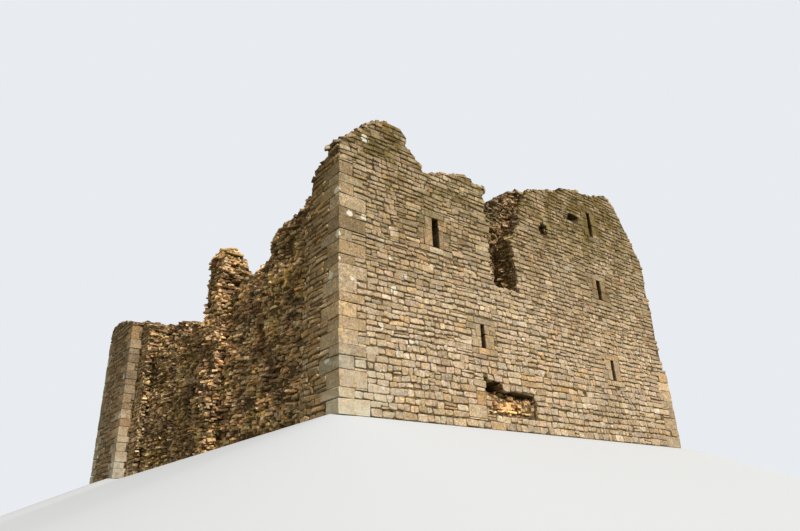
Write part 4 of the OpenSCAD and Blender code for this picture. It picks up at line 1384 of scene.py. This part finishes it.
def mound(name, paint):
    """Ground that falls away all round the keep, as a grid that is finer near the walls"""
    bm = bmesh.new()
    bmesh.ops.create_grid(bm, x_segments=GRID_CELLS, y_segments=GRID_CELLS, size=1)
    for vert in bm.verts:
        x, y = (math.copysign(GRID_EVEN * abs(share) + GRID_GROWING * abs(share) ** 4, share)
                for share in vert.co[:2])
        vert.co = (x, y, ground_height(x, y))
    for face in bm.faces:
        face.smooth = True
    mesh = bpy.data.meshes.new(name)
    bm.to_mesh(mesh)
    bm.free()
    mesh.materials.append(paint)
    item = bpy.data.objects.new(name, mesh)
    bpy.context.scene.collection.objects.link(item)
    item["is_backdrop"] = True


class KEEP_OT_stage(bpy.types.Operator):
    """Pale ground, soft light and the camera"""
    bl_idname = "keep.stage"
    bl_label = "Stage"

    def execute(self, context):
        scene = context.scene
        scene.view_settings.view_transform = "Standard"
        paint = Shader("pale_floor")
        colours = scene.keep_colours
        shown = paint.mix(paint.seen(), tuple(colours.ground), tuple(colours.floor))
        paint.tree.links.new(shown, paint.surface.inputs["Base Color"])
        paint.surface.inputs["Roughness"].default_value = 0.95
        mound("pale_mound", paint.material)
        self.add_sun(scene)
        self.add_sky(scene)
        self.add_camera(scene)
        return {"FINISHED"}

    def add_sun(self, scene):
        """One wide sun, high on the side of the front wall"""
        lamp = bpy.data.lights.new("key_sun", "SUN")
        lamp.energy = SUN_STRENGTH
        lamp.angle = SUN_WIDTH
        lamp.color = SUN_COLOUR
        sun = bpy.data.objects.new("key_sun", lamp)
        sun.rotation_euler = SUN_FROM.to_track_quat("Z", "Y").to_euler()
        scene.collection.objects.link(sun)

    def add_sky(self, scene):
        """A sky that lights the keep in one colour and is seen in another"""
        world = bpy.data.worlds.new("pale_sky")
        world.use_nodes = True
        sky = Nodes(world.node_tree)
        fill = sky.tree.nodes["Background"]
        fill.inputs["Color"].default_value = FILL_COLOUR
        fill.inputs["Strength"].default_value = FILL_STRENGTH
        seen = sky.node("ShaderNodeBackground", {"Color": SKY_COLOUR})
        inputs = {0: sky.seen(), 1: fill.outputs[0], 2: seen.outputs[0]}
        mixed = sky.node("ShaderNodeMixShader", inputs)
        sky.tree.links.new(mixed.outputs[0], sky.tree.nodes["World Output"].inputs["Surface"])
        scene.world = world

    def add_camera(self, scene):
        """The photograph's own view"""
        data = bpy.data.cameras.new("photo_camera")
        data.sensor_width = 36
        data.lens = CAMERA_LENS
        data.clip_end = 500
        camera = bpy.data.objects.new("photo_camera", data)
        turn = (Matrix.Rotation(math.radians(-CAMERA_HEADING), 4, "Z")
                @ Matrix.Rotation(math.radians(90 + CAMERA_PITCH), 4, "X")
                @ Matrix.Rotation(math.radians(CAMERA_ROLL), 4, "Z"))
        camera.matrix_world = Matrix.Translation(CAMERA_PLACE) @ turn
        scene.collection.objects.link(camera)
        scene.camera = camera


STEPS = (KEEP_OT_bedding, KEEP_OT_corners, KEEP_OT_slits, KEEP_OT_marked_stones, KEEP_OT_doorway,
         KEEP_OT_outer_facing, KEEP_OT_court_facing, KEEP_OT_left_rubble, KEEP_OT_breach_rubble,
         KEEP_OT_crests, KEEP_OT_stage)


class KEEP_PT_panel(bpy.types.Panel):
    """Lists the steps in the sidebar"""
    bl_label = "Ruined castle keep"
    bl_idname = "KEEP_PT_panel"
    bl_space_type = "VIEW_3D"
    bl_region_type = "UI"
    bl_category = "Keep"

    def draw(self, context):
        for step in STEPS:
            self.layout.operator(step.bl_idname)


SETTINGS = {"keep_facing": KeepFacing, "keep_dressed": KeepDressed, "keep_rubble": KeepRubble,
            "keep_colours": KeepColours}


def register():
    for group in SETTINGS.values():
        bpy.utils.register_class(group)
    for name, group in SETTINGS.items():
        setattr(bpy.types.Scene, name, PointerProperty(type=group))
    for item in STEPS + (KEEP_PT_panel,):
        bpy.utils.register_class(item)


def unregister():
    for item in (KEEP_PT_panel,) + STEPS[::-1]:
        bpy.utils.unregister_class(item)
    for name in SETTINGS:
        delattr(bpy.types.Scene, name)
    for group in SETTINGS.values():
        bpy.utils.unregister_class(group)


def main():
    """Runs all steps in order"""
    register()
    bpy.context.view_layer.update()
    for step in STEPS:
        group, name = step.bl_idname.split(".")
        getattr(getattr(bpy.ops, group), name)()


if __name__ == "__main__":
    main()
